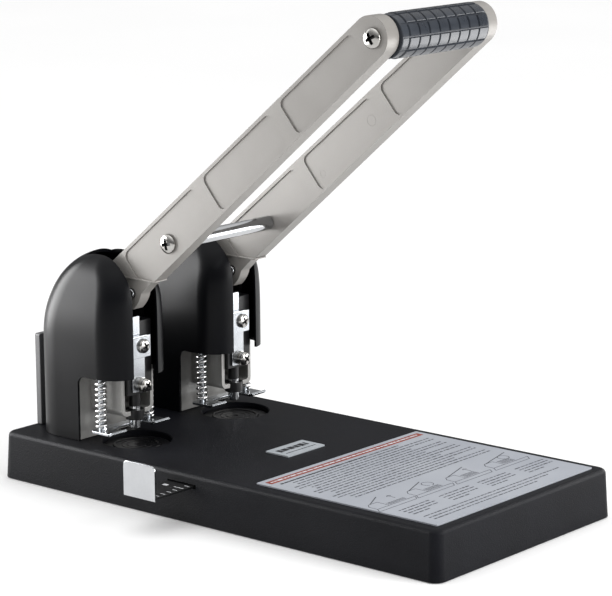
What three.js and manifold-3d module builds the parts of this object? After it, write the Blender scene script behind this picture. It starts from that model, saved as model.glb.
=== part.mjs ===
// A heavy-duty two-hole punch. Units are millimetres, +Z is up, and the origin is the centre
// of the underside of the rubber mat. +X points from the punch heads to the label end of the
// base, and -Y is the side that the paper guide pulls out of. Each punch head is modelled
// once, around y = 0 of its own group, and placed at -HOLE_SPACING / 2 and +HOLE_SPACING / 2.

import * as THREE from 'three';
import { mergeVertices } from 'three/addons/utils/BufferGeometryUtils.js';
import Module from 'manifold-3d';

const wasm = await Module();
wasm.setup();

// ---------------------------------------------------------------- driving dimensions

const HOLE_SPACING = 80;
const GAP = 0.3;
const ROUND = 14;
const SMALL_ROUND = 10;

const BASE = {
  halfLength: 151.2,
  halfWidth: 74.6,
  rim: 0.3,
  bevel: 0.4,
  top: 26.2,
  slab: 16,
  draft: 1.2,
  fillet: 2.4,
  corner: 6,
  wall: 4.2,
};
const DECK = BASE.top + GAP;
const MAT_THICK = 1.5;
const PLATE_THICK = 3;

const LABEL = { x0: 28, x1: 144, halfWidth: 66, thick: 0.5, corner: 3 };
const NAME_PLATE = { x: -0.6, y: -2, length: 16, width: 30, thick: 0.6, corner: 0.4 };
const REAR_PANEL = { x0: -147, x1: -143.2, halfWidth: 51.5, top: 78, corner: 1 };

const PIVOT = { x: -98.2, z: 106, radius: 4, halfLength: 13.4 };
const PIN = { x: -79.4, z: 108, radius: 2.6, halfLength: 5.3 };
const PUNCH = { x: -82.4, radius: 3.2, bore: 2.6, tip: 32.8, top: 74 };
const DISC = { x: -81.2, radius: 18.4, seat: 19, floor: 22, thick: 1.1, ring: 12.3 };
const STROKE_DOWN = 8.5;
const STROKE_UP = 6.9;
const HUB_RADIUS = 9.9;

const BRACKET = { front: -80, back: -103, half: 12.25, sheet: 2.5, floor: 40.5, bend: 3.5 };
BRACKET.top = 66;
BRACKET.sideTop = 62.9;
BRACKET.plateHalf = 21.3;
BRACKET.flangeBack = -125;
BRACKET.flangeHalf = 18;
BRACKET.trim = 4.5;
const BUSH = { bore: 3.5, radius: 5, reach: 2.8 };
const BRACKET_SCREW = { x: -118, y: 11, head: 3.2, shank: 1.9, hole: 2.3, bottom: 17.5 };
const YOKE = { front: -86, back: -112, bottom: 82.6, top: 117, chamfer: 8 };

const COVER = { half: 23, rear: -141, front: -73, wall: 1.4, rearRound: 22, frontRound: 16 };
COVER.opening = 9.4;
COVER.slotRear = -107;
COVER.cutX = -102.5;
COVER.cutZ = 62.5;
COVER.cutCorner = 4.5;
COVER.domeX = -95;
COVER.domeZ = 80;
COVER.domeRise = 50;
COVER.noseZ = 104;

const BLOCK = { front: -78, back: -98, half: 9.4, top: 92.5 };
BLOCK.bottom = BRACKET.floor + BRACKET.sheet + 2 * GAP + STROKE_DOWN;
BLOCK.step = { x: -85, z: PIVOT.z - HUB_RADIUS - 3.2 - STROKE_UP };
const TONGUE = { back: -91.5, neck: -85.5, tip: -79.2, half: 1.8, depth: 4.4, slot: 3.0 };
const UPPER_SCREW = { z: 79.05, tip: -85.5, head: 4 };
const LOWER_SCREW = { z: 57.6, tip: -78.8, head: 3.9, washer: 3.9, lockWasher: 3.3 };
const CLAMP_SHANK = 1.9;
const STRIP = { x0: -77.7, x1: -76.8, bottom: 53.9, step: 84.6, top: 95.5 };
const CLAMP = { x0: -76.5, x1: -75.2, y0: -8.4, y1: 5.9, z0: 72.6, z1: 84.4, lip: 1.4 };
const BAR = { x: -90, halfDepth: 3, halfLength: 20.8, z0: 72, z1: 75 };

const FOOT = { back: -94.5, front: -79.5, half: 22.5, z0: 32.2, z1: 33.5, notch: 11 };
FOOT.notchBack = -89;
FOOT.lipTop = 34.6;
const ROD = { x: -90, y: 18, radius: 1.5, head: 2.6, headZ: 78.3, top: 80 };
const ROD_HOLE = ROD.radius + GAP;
const SPRING = { mean: 2.4, wire: 0.7, turns: 8, stepsPerTurn: 6 };

const ARM_ANGLE = THREE.MathUtils.degToRad(40.3);
const GRIP = { x: 87.5, z: 255.75, radius: 11.5, core: 6 };
const ARM = { half: 4.5, beakHalf: 3.6, upper: 12.3, taper: 0.0161, lower: -9.6, ledge: 116.5 };
ARM.endRadius = 11;
ARM.pocketHalf = 2.3;
ARM.panelDepth = 0.8;
ARM.panels = [[-213, -147], [-138.6, -79], [-70, -9.6]];
const CROSS_ROD = { x: -51.3, z: 138.2, radius: 4 };
const INNER_FACE = HOLE_SPACING / 2 - ARM.half;
const OUTER_FACE = HOLE_SPACING / 2 + ARM.half;
const GRIP_THREAD = 2.5;
const CROSS_THREAD = 2;
const THREAD_DEPTH = 8;

const GUIDE = { x0: -26, x1: -8, z0: 19.4, z1: 20.6, y: -104, inner: 6, thick: 1.2 };
GUIDE.tabX0 = -28;
GUIDE.tabX1 = -6;
GUIDE.tabTop = 38;
const GUIDE_CHANNEL_END = 42;

// ---------------------------------------------------------------- solids and booleans

function toSolid(geometry) {
  const bare = geometry.clone();
  bare.deleteAttribute('normal');
  bare.deleteAttribute('uv');
  const merged = mergeVertices(bare, 1e-4);
  const vertProperties = new Float32Array(merged.attributes.position.array);
  const triVerts = new Uint32Array(merged.index.array);
  return new wasm.Manifold(new wasm.Mesh({ numProp: 3, vertProperties, triVerts }));
}

function toGeometry(solid) {
  const { vertProperties, triVerts, numProp } = solid.getMesh();
  const position = new Float32Array((vertProperties.length / numProp) * 3);
  for (let i = 0; i < position.length / 3; i += 1) {
    for (let k = 0; k < 3; k += 1) {
      position[3 * i + k] = vertProperties[numProp * i + k];
    }
  }
  const geometry = new THREE.BufferGeometry();
  geometry.setAttribute('position', new THREE.BufferAttribute(position, 3));
  geometry.setIndex(new THREE.BufferAttribute(new Uint32Array(triVerts), 1));
  geometry.computeVertexNormals();
  return geometry;
}

const join = (...solids) => solids.reduce((whole, next) => whole.add(next));
const cut = (whole, ...tools) => tools.reduce((left, tool) => left.subtract(tool), whole);

// ---------------------------------------------------------------- shape helpers

function box(x0, x1, y0, y1, z0, z1) {
  const geometry = new THREE.BoxGeometry(x1 - x0, y1 - y0, z1 - z0);
  geometry.translate((x0 + x1) / 2, (y0 + y1) / 2, (z0 + z1) / 2);
  return toSolid(geometry);
}

function outline(points) {
  return new THREE.Shape(points.map(([a, b]) => new THREE.Vector2(a, b)));
}

function roundedRect(a0, a1, b0, b1, radius) {
  const shape = new THREE.Shape();
  const quarter = Math.PI / 2;
  shape.absarc(a1 - radius, b0 + radius, radius, -quarter, 0);
  shape.absarc(a1 - radius, b1 - radius, radius, 0, quarter);
  shape.absarc(a0 + radius, b1 - radius, radius, quarter, 2 * quarter);
  shape.absarc(a0 + radius, b0 + radius, radius, 2 * quarter, 3 * quarter);
  shape.closePath();
  return shape;
}

function extruded(shape, depth, curveSegments) {
  return new THREE.ExtrudeGeometry(shape, { depth, bevelEnabled: false, curveSegments });
}

// A shape drawn in (x, z), thick from y0 to y1.
function slabY(shape, y0, y1, curveSegments = 8) {
  const geometry = extruded(shape, y1 - y0, curveSegments);
  geometry.rotateX(Math.PI / 2);
  geometry.translate(0, y1, 0);
  return toSolid(geometry);
}

// A shape drawn in (y, z), thick from x0 to x1.
function slabX(shape, x0, x1, curveSegments = 6) {
  const geometry = extruded(shape, x1 - x0, curveSegments);
  const turn = new THREE.Matrix4().makeBasis(
    new THREE.Vector3(0, 1, 0),
    new THREE.Vector3(0, 0, 1),
    new THREE.Vector3(1, 0, 0),
  );
  geometry.applyMatrix4(turn);
  geometry.translate(x0, 0, 0);
  return toSolid(geometry);
}

// A shape drawn in (x, y), thick from z0 to z1.
function slabZ(shape, z0, z1, curveSegments = 6) {
  const geometry = extruded(shape, z1 - z0, curveSegments);
  geometry.translate(0, 0, z0);
  return toSolid(geometry);
}

// A solid of revolution. The profile is a list of [radius, height] that starts and ends on
// the axis or closes on itself, and the axis is then laid along x, y or z through "at".
function turned(profile, axis, at, segments = ROUND) {
  const points = profile.map(([r, h]) => new THREE.Vector2(r, h));
  const geometry = new THREE.LatheGeometry(points, segments);
  if (axis === 'z') {
    geometry.rotateX(Math.PI / 2);
  }
  if (axis === 'x') {
    geometry.rotateZ(-Math.PI / 2);
  }
  geometry.translate(...at);
  return toSolid(geometry);
}

function rod(radius, from, to, axis, at, segments = ROUND) {
  return turned([[0, from], [radius, from], [radius, to], [0, to]], axis, at, segments);
}

function tube(inner, outer, from, to, axis, at, segments = ROUND) {
  const profile = [[inner, from], [outer, from], [outer, to], [inner, to], [inner, from]];
  return turned(profile, axis, at, segments);
}

// A closed skin through a stack of rings, each a list of [x, y] at its own height.
function lofted(rings) {
  const count = rings[0].points.length;
  const vertices = [];
  const faces = [];
  rings.forEach(({ z, points }) => points.forEach(([x, y]) => vertices.push(x, y, z)));
  for (let level = 0; level < rings.length - 1; level += 1) {
    for (let i = 0; i < count; i += 1) {
      const a = level * count + i;
      const b = level * count + ((i + 1) % count);
      faces.push(a, b, b + count, a, b + count, a + count);
    }
  }
  const last = (rings.length - 1) * count;
  for (let i = 1; i < count - 1; i += 1) {
    faces.push(0, i + 1, i);
    faces.push(last, last + i, last + i + 1);
  }
  const geometry = new THREE.BufferGeometry();
  geometry.setAttribute('position', new THREE.Float32BufferAttribute(vertices, 3));
  geometry.setIndex(faces);
  return toSolid(geometry);
}

// The points of a rounded outline, counter-clockwise: a front pair and a rear pair of
// corners, each with its own radius.
function roundedRing(rear, front, half, rearRadius, frontRadius, steps = 5) {
  const corners = [
    [front - frontRadius, -half + frontRadius, frontRadius, -90],
    [front - frontRadius, half - frontRadius, frontRadius, 0],
    [rear + rearRadius, half - rearRadius, rearRadius, 90],
    [rear + rearRadius, -half + rearRadius, rearRadius, 180],
  ];
  const points = [];
  corners.forEach(([cx, cy, radius, start]) => {
    for (let i = 0; i <= steps; i += 1) {
      const angle = THREE.MathUtils.degToRad(start + (90 * i) / steps);
      points.push([cx + radius * Math.cos(angle), cy + radius * Math.sin(angle)]);
    }
  });
  return points;
}

// ---------------------------------------------------------------- materials

function finish(color, roughness, metalness) {
  return new THREE.MeshStandardMaterial({ color, roughness, metalness });
}

const BLACK_PLASTIC = finish(0x1b1c1f, 0.6, 0);
const COVER_PAINT = finish(0x2b2d33, 0.4, 0.1);
const GREY_PAINT = finish(0xbab6b0, 0.45, 0.2);
const BLACK_STEEL = finish(0x141416, 0.5, 0.6);
const NICKEL = finish(0xd0d2d4, 0.25, 1);
const CHROME = finish(0xe2e4e6, 0.12, 1);
const GRIP_PLASTIC = finish(0x2c3440, 0.5, 0);
const LABEL_FILM = finish(0xdfe5ee, 0.5, 0);
const RUBBER = finish(0x151515, 0.9, 0);
const DISC_PLASTIC = finish(0x232427, 0.55, 0);

// ---------------------------------------------------------------- scene graph

const punch = new THREE.Group();
punch.name = 'two_hole_punch';

function place(group, name, material, solid) {
  const mesh = new THREE.Mesh(toGeometry(solid), material);
  mesh.name = name;
  group.add(mesh);
}

// ---------------------------------------------------------------- base

function baseRing(z, inset) {
  const { halfLength, halfWidth, corner } = BASE;
  const radius = corner - inset / 2;
  const points = roundedRing(
    -halfLength + inset, halfLength - inset, halfWidth - inset, radius, radius,
  );
  return { z, points };
}

function baseBlank() {
  const { rim, bevel, top, draft, fillet } = BASE;
  const shoulder = top - fillet;
  const rings = [baseRing(rim, bevel), baseRing(rim + bevel, 0)];
  const steps = 3;
  for (let i = 0; i <= steps; i += 1) {
    const angle = (Math.PI / 2) * (i / steps);
    const inset = draft + fillet * (1 - Math.cos(angle));
    rings.push(baseRing(shoulder + fillet * Math.sin(angle), inset));
  }
  return lofted(rings);
}

// The plan of the room inside the base's walls, or of a plate that fills it with a gap.
function baseInside(gap, z0, z1) {
  const { halfLength, halfWidth, wall, corner } = BASE;
  const length = halfLength - wall - gap;
  const width = halfWidth - wall - gap;
  return slabZ(roundedRect(-length, length, -width, width, corner - wall / 2), z0, z1, 2);
}

function baseShell() {
  const channel = box(
    GUIDE.x0 - 1, GUIDE.x1 + 1, -BASE.halfWidth - 5, GUIDE_CHANNEL_END,
    GUIDE.z0 - 0.5, GUIDE.z1 + 0.5,
  );
  const tools = [baseInside(0, -1, BASE.slab), channel];
  for (const side of [-1, 1]) {
    const y = (side * HOLE_SPACING) / 2;
    tools.push(rod(DISC.seat, DISC.floor, BASE.top + 1, 'z', [DISC.x, y, 0], 24));
    for (const offset of [-BRACKET_SCREW.y, BRACKET_SCREW.y]) {
      const at = [BRACKET_SCREW.x, y + offset, 0];
      tools.push(rod(BRACKET_SCREW.hole, BASE.slab - 1, BASE.top + 1, 'z', at, SMALL_ROUND));
    }
  }
  return cut(baseBlank(), ...tools);
}

function labelPlate() {
  const { x0, x1, halfWidth, thick, corner } = LABEL;
  return slabZ(roundedRect(x0, x1, -halfWidth, halfWidth, corner), DECK, DECK + thick, 2);
}

function namePlate() {
  const { x, y, length, width, thick, corner } = NAME_PLATE;
  const shape = roundedRect(x - length / 2, x + length / 2, y - width / 2, y + width / 2, corner);
  return slabZ(shape, DECK, DECK + thick, 2);
}

function rearPanel() {
  const { x0, x1, halfWidth, top, corner } = REAR_PANEL;
  return slabX(roundedRect(-halfWidth, halfWidth, DECK, top, corner), x0, x1, 2);
}

// ---------------------------------------------------------------- paper guide

function paperGuide() {
  const { x0, x1, z0, z1, y, inner, thick, tabX0, tabX1, tabTop } = GUIDE;
  const strip = box(x0, x1, y - thick / 2, inner, z0, z1);
  const tab = slabY(roundedRect(tabX0, tabX1, z0, tabTop, 3), y - thick, y, 2);
  return join(strip, tab);
}

// ---------------------------------------------------------------- fixed parts of a head

// The sheet-steel bracket: a channel that carries the punch over the paper, the upright
// plate that the paper stops against, and the flange that is screwed to the base.
function bracket() {
  const { front, back, half, sheet, floor, bend, top, sideTop } = BRACKET;
  const { plateHalf, flangeBack, flangeHalf } = BRACKET;
  const quarter = Math.PI / 2;
  const inner = bend - sheet;
  const channel = new THREE.Shape();
  channel.moveTo(-half, top);
  channel.absarc(-half + bend, floor + bend, bend, 2 * quarter, 3 * quarter);
  channel.absarc(half - bend, floor + bend, bend, -quarter, 0);
  channel.lineTo(half, top);
  channel.lineTo(half - sheet, top);
  channel.absarc(half - bend, floor + bend, inner, 0, -quarter, true);
  channel.absarc(-half + bend, floor + bend, inner, -quarter, -2 * quarter, true);
  channel.lineTo(-half + sheet, top);
  channel.closePath();
  const walls = slabX(channel, back - sheet / 2, front, 2);
  const trim = box(back, front - BRACKET.trim, -half - 1, half + 1, sideTop, top + 1);
  const stop = box(back - sheet, back, -plateHalf, plateHalf, DECK, top);
  const flange = box(flangeBack, back, -flangeHalf, flangeHalf, DECK, DECK + sheet);
  const hole = BUSH.radius + GAP;
  const bushHole = rod(hole, floor - 1, floor + sheet + 1, 'z', [PUNCH.x, 0, 0]);
  const bushMouth = box(PUNCH.x, front + 1, -hole, hole, floor - 1, floor + sheet + 1);
  const screwHoles = [-BRACKET_SCREW.y, BRACKET_SCREW.y].map((y) =>
    rod(BRACKET_SCREW.hole, DECK - 1, DECK + 4, 'z', [BRACKET_SCREW.x, y, 0], SMALL_ROUND),
  );
  return cut(join(cut(walls, trim), stop, flange), bushHole, bushMouth, ...screwHoles);
}

function guideBush() {
  const { bore, radius, reach } = BUSH;
  const { floor } = BRACKET;
  return tube(bore, radius, floor - reach, floor + reach, 'z', [PUNCH.x, 0, 0]);
}

function bracketScrew(y) {
  const { x, head, shank, bottom } = BRACKET_SCREW;
  const seat = DECK + BRACKET.sheet + GAP;
  const profile = [[0, bottom], [shank, bottom], [shank, seat], [head, seat]];
  profile.push([head, seat + 1.2], [head * 0.7, seat + 2], [0, seat + 2.2]);
  return turned(profile, 'z', [x, y, 0], SMALL_ROUND);
}

// The black yoke stands on the bracket's flange and holds the handle's axle.
function yoke() {
  const { half, sheet } = BRACKET;
  const { front, back, bottom, top, chamfer } = YOKE;
  const base = DECK + sheet + GAP;
  const upright = box(back, back + sheet, -half, half, base, top);
  const cheek = outline([
    [back, bottom], [front - chamfer, bottom], [front, bottom + chamfer],
    [front, top - chamfer], [front - chamfer, top], [back, top],
  ]);
  const cheeks = [-half, half - sheet].map((y) => slabY(cheek, y, y + sheet));
  const bore = rod(PIVOT.radius + GAP, -half - 1, half + 1, 'y', [PIVOT.x, 0, PIVOT.z]);
  return cut(join(upright, ...cheeks), bore);
}

function pivotAxle() {
  const { x, z, radius, halfLength } = PIVOT;
  return rod(radius, -halfLength, halfLength, 'y', [x, 0, z]);
}

// The outside of the cover at one height: straight walls up to the dome, then a long curve
// over the back, a short one over the nose and a swelling one over the sides.
function coverRing(z, inset) {
  const { half, rear, front, rearRound, frontRound, domeX, domeZ, domeRise, noseZ } = COVER;
  const rise = Math.max(0, (z - domeZ) / domeRise);
  const noseRise = Math.max(0, (z - noseZ) / (domeZ + domeRise - noseZ));
  const back = domeX - (domeX - rear) * Math.sqrt(1 - rise * rise);
  const nose = domeX + (front - domeX) * Math.sqrt(1 - noseRise * noseRise);
  const side = half * (1 - rise ** 3) ** 0.43 - inset;
  const radius = Math.min(rearRound - inset, side);
  const noseRadius = Math.min(frontRound - inset, side);
  return roundedRing(back + inset, nose - inset, side, radius, noseRadius, 4);
}

function coverSkin(bottom, inset) {
  const { domeZ, domeRise } = COVER;
  const heights = [0, 0.24, 0.44, 0.6, 0.74, 0.85, 0.93, 0.98];
  const rings = [{ z: bottom, points: coverRing(bottom, inset) }];
  heights.forEach((rise) => {
    const z = domeZ + domeRise * rise;
    rings.push({ z: z - inset * rise, points: coverRing(z, inset) });
  });
  return lofted(rings);
}

function cover() {
  const { wall, opening, slotRear, cutX, cutZ, cutCorner } = COVER;
  const far = 200;
  const corner = new THREE.Shape();
  corner.moveTo(cutX, 0);
  corner.lineTo(0, 0);
  corner.lineTo(0, cutZ);
  corner.absarc(cutX + cutCorner, cutZ - cutCorner, cutCorner, Math.PI / 2, Math.PI);
  corner.closePath();
  const sideCut = slabY(corner, -far, far, 4);
  const slot = box(slotRear, 0, -opening, opening, 100, far);
  const mouth = box(-90, 0, -opening, opening, 0, far);
  return cut(coverSkin(DECK, 0), coverSkin(0, wall), sideCut, slot, mouth);
}

// ---------------------------------------------------------------- slider of a head

// The slide block carries the punch. Its tongue reaches up into the arm, where a level slot
// holds the drive pin, so the block runs straight while the pin follows its arc.
function slideBlock() {
  const { front, back, half, bottom, top, step } = BLOCK;
  const side = outline([
    [back, bottom], [front, bottom], [front, top], [step.x, top], [step.x, step.z],
    [back, step.z],
  ]);
  const tongue = outline([
    [TONGUE.back, step.z - 2],
    [TONGUE.neck, step.z - 2],
    [TONGUE.neck, PIN.z - TONGUE.depth],
    [TONGUE.tip, PIN.z - TONGUE.depth],
    [TONGUE.tip, PIN.z - TONGUE.slot],
    [TONGUE.neck, PIN.z - TONGUE.slot],
    [TONGUE.neck, PIN.z + TONGUE.slot],
    [TONGUE.tip, PIN.z + TONGUE.slot],
    [TONGUE.tip, PIN.z + TONGUE.depth],
    [TONGUE.back, PIN.z + TONGUE.depth],
  ]);
  const body = join(slabY(side, -half, half), slabY(tongue, -TONGUE.half, TONGUE.half));
  const bore = rod(PUNCH.radius + GAP, bottom - 1, PUNCH.top + GAP, 'z', [PUNCH.x, 0, 0]);
  const channel = box(
    BAR.x - BAR.halfDepth - GAP, BAR.x + BAR.halfDepth + GAP, -half - 1, half + 1,
    BAR.z0 - GAP, BAR.z1 + GAP,
  );
  const holes = [UPPER_SCREW, LOWER_SCREW].map(({ z, tip }) =>
    rod(CLAMP_SHANK + GAP, tip - 1, front + 1, 'x', [0, 0, z], SMALL_ROUND),
  );
  return cut(body, bore, channel, ...holes);
}

function punchTube() {
  return tube(PUNCH.bore, PUNCH.radius, PUNCH.tip, PUNCH.top, 'z', [PUNCH.x, 0, 0]);
}

function clampStrip() {
  const { x0, x1, bottom, step, top } = STRIP;
  const shape = outline([
    [-6.7, bottom], [2.7, bottom], [2.7, step], [-0.9, step], [-0.9, top], [-7.2, top],
    [-7.2, step - 1], [-6.7, step - 1],
  ]);
  const holes = [UPPER_SCREW, LOWER_SCREW].map(({ z }) =>
    rod(CLAMP_SHANK + GAP, x0 - 1, x1 + 1, 'x', [0, 0, z], SMALL_ROUND),
  );
  return cut(slabX(shape, x0, x1), ...holes);
}

function clampPlate() {
  const { x0, x1, y0, y1, z0, z1, lip } = CLAMP;
  const ledge = box(x0, x1 + lip, y0 - 0.6, 1.6, z1 - 0.2, z1 + 0.8);
  const at = [0, 0, UPPER_SCREW.z];
  const hole = rod(CLAMP_SHANK + GAP, x0 - 1, x1 + 1, 'x', at, SMALL_ROUND);
  return cut(join(box(x0, x1, y0, y1, z0, z1), ledge), hole);
}

function upperScrew() {
  const { z, tip, head } = UPPER_SCREW;
  const seat = CLAMP.x1 + GAP;
  const profile = [[0, tip], [CLAMP_SHANK, tip], [CLAMP_SHANK, seat], [head, seat]];
  profile.push([head, seat + 0.7], [0.75 * head, seat + 1.6], [0, seat + 2]);
  return turned(profile, 'x', [0, 0, z], SMALL_ROUND);
}

// The lower screw has captive washers and only pinches the punch, so its shank is short.
function lowerScrew() {
  const { z, tip, head, washer, lockWasher } = LOWER_SCREW;
  const seat = STRIP.x1 + GAP;
  const profile = [[0, tip], [CLAMP_SHANK, tip], [CLAMP_SHANK, seat], [washer, seat]];
  profile.push([washer, seat + 1], [lockWasher, seat + 1.1], [lockWasher, seat + 2.3]);
  profile.push([head, seat + 2.4], [head, seat + 3.5], [0.75 * head, seat + 4.7], [0, seat + 5.1]);
  return turned(profile, 'x', [0, 0, z], SMALL_ROUND);
}

function rodHoles(z0, z1) {
  return [-ROD.y, ROD.y].map((y) =>
    rod(ROD_HOLE, z0 - 1, z1 + 1, 'z', [ROD.x, y, 0], SMALL_ROUND),
  );
}

function springBar() {
  const { x, halfDepth, halfLength, z0, z1 } = BAR;
  const plate = slabZ(
    roundedRect(x - halfDepth, x + halfDepth, -halfLength, halfLength, 2.5), z0, z1, 3,
  );
  return cut(plate, ...rodHoles(z0, z1));
}

// ---------------------------------------------------------------- pressure foot of a head

function pressurePlate() {
  const { back, front, half, z0, z1, notch, notchBack, lipTop } = FOOT;
  const sheet = outline([
    [back, -half], [front, -half], [front, -notch], [notchBack, -notch],
    [notchBack, notch], [front, notch], [front, half], [back, half],
  ]);
  const lipSide = outline([
    [front - 1.5, z0], [front, z0], [front + 1.9, lipTop - 0.9], [front + 1.1, lipTop],
    [front - 1.5, z1],
  ]);
  const lips = [[-half, -notch], [notch, half]].map(([y0, y1]) => slabY(lipSide, y0, y1));
  return cut(join(slabZ(sheet, z0, z1), ...lips), ...rodHoles(z0, z1));
}

function guideRod(y) {
  const { x, radius, head, headZ, top } = ROD;
  const profile = [[0, FOOT.z0 + 0.2], [radius, FOOT.z0 + 0.2], [radius, headZ], [head, headZ]];
  profile.push([head, top - 0.5], [head - 0.5, top], [0, top]);
  return turned(profile, 'z', [x, y, 0], SMALL_ROUND);
}

class Helix extends THREE.Curve {
  constructor(x, y, z0, z1) {
    super();
    Object.assign(this, { x, y, z0, z1 });
  }

  getPoint(t, target = new THREE.Vector3()) {
    const angle = 2 * Math.PI * SPRING.turns * t;
    const x = this.x + SPRING.mean * Math.cos(angle);
    const y = this.y + SPRING.mean * Math.sin(angle);
    return target.set(x, y, this.z0 + (this.z1 - this.z0) * t);
  }
}

function footSpring(y) {
  const { wire, turns, stepsPerTurn } = SPRING;
  const section = outline([[wire, 0], [0, wire], [-wire, 0], [0, -wire]]);
  const z0 = FOOT.z1 + GAP + wire;
  const z1 = BAR.z0 - GAP - wire;
  const geometry = new THREE.ExtrudeGeometry(section, {
    steps: turns * stepsPerTurn,
    bevelEnabled: false,
    extrudePath: new Helix(ROD.x, y, z0, z1),
  });
  return toSolid(geometry);
}

// ---------------------------------------------------------------- cutting disc

function cuttingDisc() {
  const { x, radius, floor, thick, ring } = DISC;
  const z0 = floor + GAP;
  const z1 = z0 + thick;
  const profile = [[0, z0], [radius, z0], [radius, z1], [ring + 1, z1]];
  profile.push([ring + 0.6, z1 + 0.6], [ring - 0.6, z1 + 0.6], [ring - 1, z1], [0, z1]);
  return turned(profile, 'z', [x, 0, 0], 24);
}

// ---------------------------------------------------------------- handle

// A point of the arm: "along" runs from the lower end to the grip, whose axis is its zero,
// and "across" is square to it, positive towards the upper edge.
function armPoint(along, across) {
  const cos = Math.cos(ARM_ANGLE);
  const sin = Math.sin(ARM_ANGLE);
  return [GRIP.x + along * cos - across * sin, GRIP.z + along * sin + across * cos];
}

const upperEdge = (along) => ARM.upper - ARM.taper * along;

// How far along the arm a line at a given height across it meets the ledge.
function ledgeMeets(across, slope) {
  const sin = Math.sin(ARM_ANGLE);
  const cos = Math.cos(ARM_ANGLE);
  return (ARM.ledge - GRIP.z - across * cos) / (sin + slope * cos);
}

function beamShape() {
  const { endRadius, lower, upper } = ARM;
  const middle = (upper + lower) / 2;
  const end = -1.5;
  const shape = new THREE.Shape();
  shape.moveTo(...armPoint(ledgeMeets(lower, 0), lower));
  shape.lineTo(...armPoint(end, lower));
  const [cx, cz] = armPoint(end, middle);
  const quarter = Math.PI / 2;
  shape.absarc(cx, cz, endRadius, ARM_ANGLE - quarter, ARM_ANGLE + quarter);
  const low = ledgeMeets(upper, -ARM.taper);
  shape.lineTo(...armPoint(low, upperEdge(low)));
  shape.closePath();
  return shape;
}

// The hub around the axle and the beak that hides the drive pin, below the ledge.
function beakShape() {
  const { ledge } = ARM;
  const { x, z } = PIVOT;
  const shape = new THREE.Shape();
  shape.moveTo(-62.6, ledge + 1);
  shape.quadraticCurveTo(-67, 113.6, -72.4, 108.4);
  shape.quadraticCurveTo(-73.6, 103.4, -78.4, 99.2);
  shape.lineTo(-90, 99);
  shape.absarc(x, z, HUB_RADIUS, -0.9, 2.2, true);
  shape.lineTo(-102, ledge + 1);
  shape.closePath();
  return shape;
}

// Room for the slide block's tongue in every position of the handle.
function tonguePocket() {
  const core = 6.2;
  const { x, z } = PIVOT;
  const shape = new THREE.Shape();
  shape.moveTo(x + core * Math.cos(-1.75), z + core * Math.sin(-1.75));
  shape.absarc(x, z, core, -1.75, 0.9);
  shape.lineTo(-87.6, 116.4);
  shape.lineTo(-78, 113.2);
  shape.absarc(PIN.x, PIN.z, 5.4, 1.2, -0.7, true);
  shape.lineTo(-81.2, 101.4);
  shape.lineTo(-74.4, 88);
  shape.lineTo(-99, 88);
  shape.closePath();
  return slabY(shape, -ARM.pocketHalf, ARM.pocketHalf, 4);
}

function panelShape(low, high) {
  const inset = 1.7;
  const radius = 3.5;
  const bottom = ARM.lower + 1.2;
  const shape = new THREE.Shape();
  const corners = [
    [low + radius, bottom + radius, Math.PI],
    [high - radius, bottom + radius, 1.5 * Math.PI],
    [high - radius, upperEdge(high) - inset - radius, 0],
    [low + radius, upperEdge(low) - inset - radius, Math.PI / 2],
  ];
  corners.forEach(([along, across, start]) => {
    const [cx, cz] = armPoint(along, across);
    const from = start + ARM_ANGLE;
    shape.absarc(cx, cz, radius, from, from + Math.PI / 2);
  });
  shape.closePath();
  return shape;
}

function arm() {
  const { half, beakHalf, panelDepth } = ARM;
  const blank = join(
    slabY(beamShape(), -half, half, 5),
    slabY(beakShape(), -beakHalf, beakHalf, 4),
  );
  const tools = [
    tonguePocket(),
    rod(PIVOT.radius + GAP, -10, 10, 'y', [PIVOT.x, 0, PIVOT.z]),
    rod(PIN.radius + GAP, -10, 10, 'y', [PIN.x, 0, PIN.z]),
    rod(GRIP_THREAD + GAP, -10, 10, 'y', [GRIP.x, 0, GRIP.z], SMALL_ROUND),
    rod(CROSS_THREAD + GAP, -10, 10, 'y', [CROSS_ROD.x, 0, CROSS_ROD.z], SMALL_ROUND),
  ];
  for (const [low, high] of ARM.panels) {
    for (const y of [-half - 1, half - panelDepth]) {
      tools.push(slabY(panelShape(low, high), y, y + 1 + panelDepth, 1));
    }
  }
  return cut(blank, ...tools);
}

function drivePin() {
  const { x, z, radius, halfLength } = PIN;
  return rod(radius, -halfLength, halfLength, 'y', [x, 0, z]);
}

// A bar between the arms, with a tapped hole in each end for a screw of that thread.
function spacerBar(radius, end, thread, at) {
  const hole = thread + GAP;
  const floor = end - THREAD_DEPTH;
  const profile = [[0, -floor], [hole, -floor], [hole, -end], [radius, -end]];
  profile.push([radius, end], [hole, end], [hole, floor], [0, floor]);
  return turned(profile, 'y', at);
}

function gripSleeve() {
  const end = INNER_FACE - 2 * GAP;
  return tube(GRIP.core + GAP, GRIP.radius, -end, end, 'y', [GRIP.x, 0, GRIP.z], 20);
}

// A domed screw that enters an arm from outside. The face it sits on is a distance from
// the middle of the punch, and the side is -1 or 1.
function armScrew(side, thread, face, at) {
  const seat = face + GAP;
  const tip = INNER_FACE - THREAD_DEPTH + 1;
  const profile = [[0, tip], [thread, tip], [thread, seat], [5.25, seat]];
  profile.push([5.25, seat + 0.8], [3.8, seat + 2.1], [0, seat + 2.6]);
  const solid = turned(profile, 'y', [0, 0, 0], SMALL_ROUND);
  const facing = side < 0 ? solid.rotate([180, 0, 0]) : solid;
  return facing.translate(at);
}

// ---------------------------------------------------------------- assembly

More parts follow.
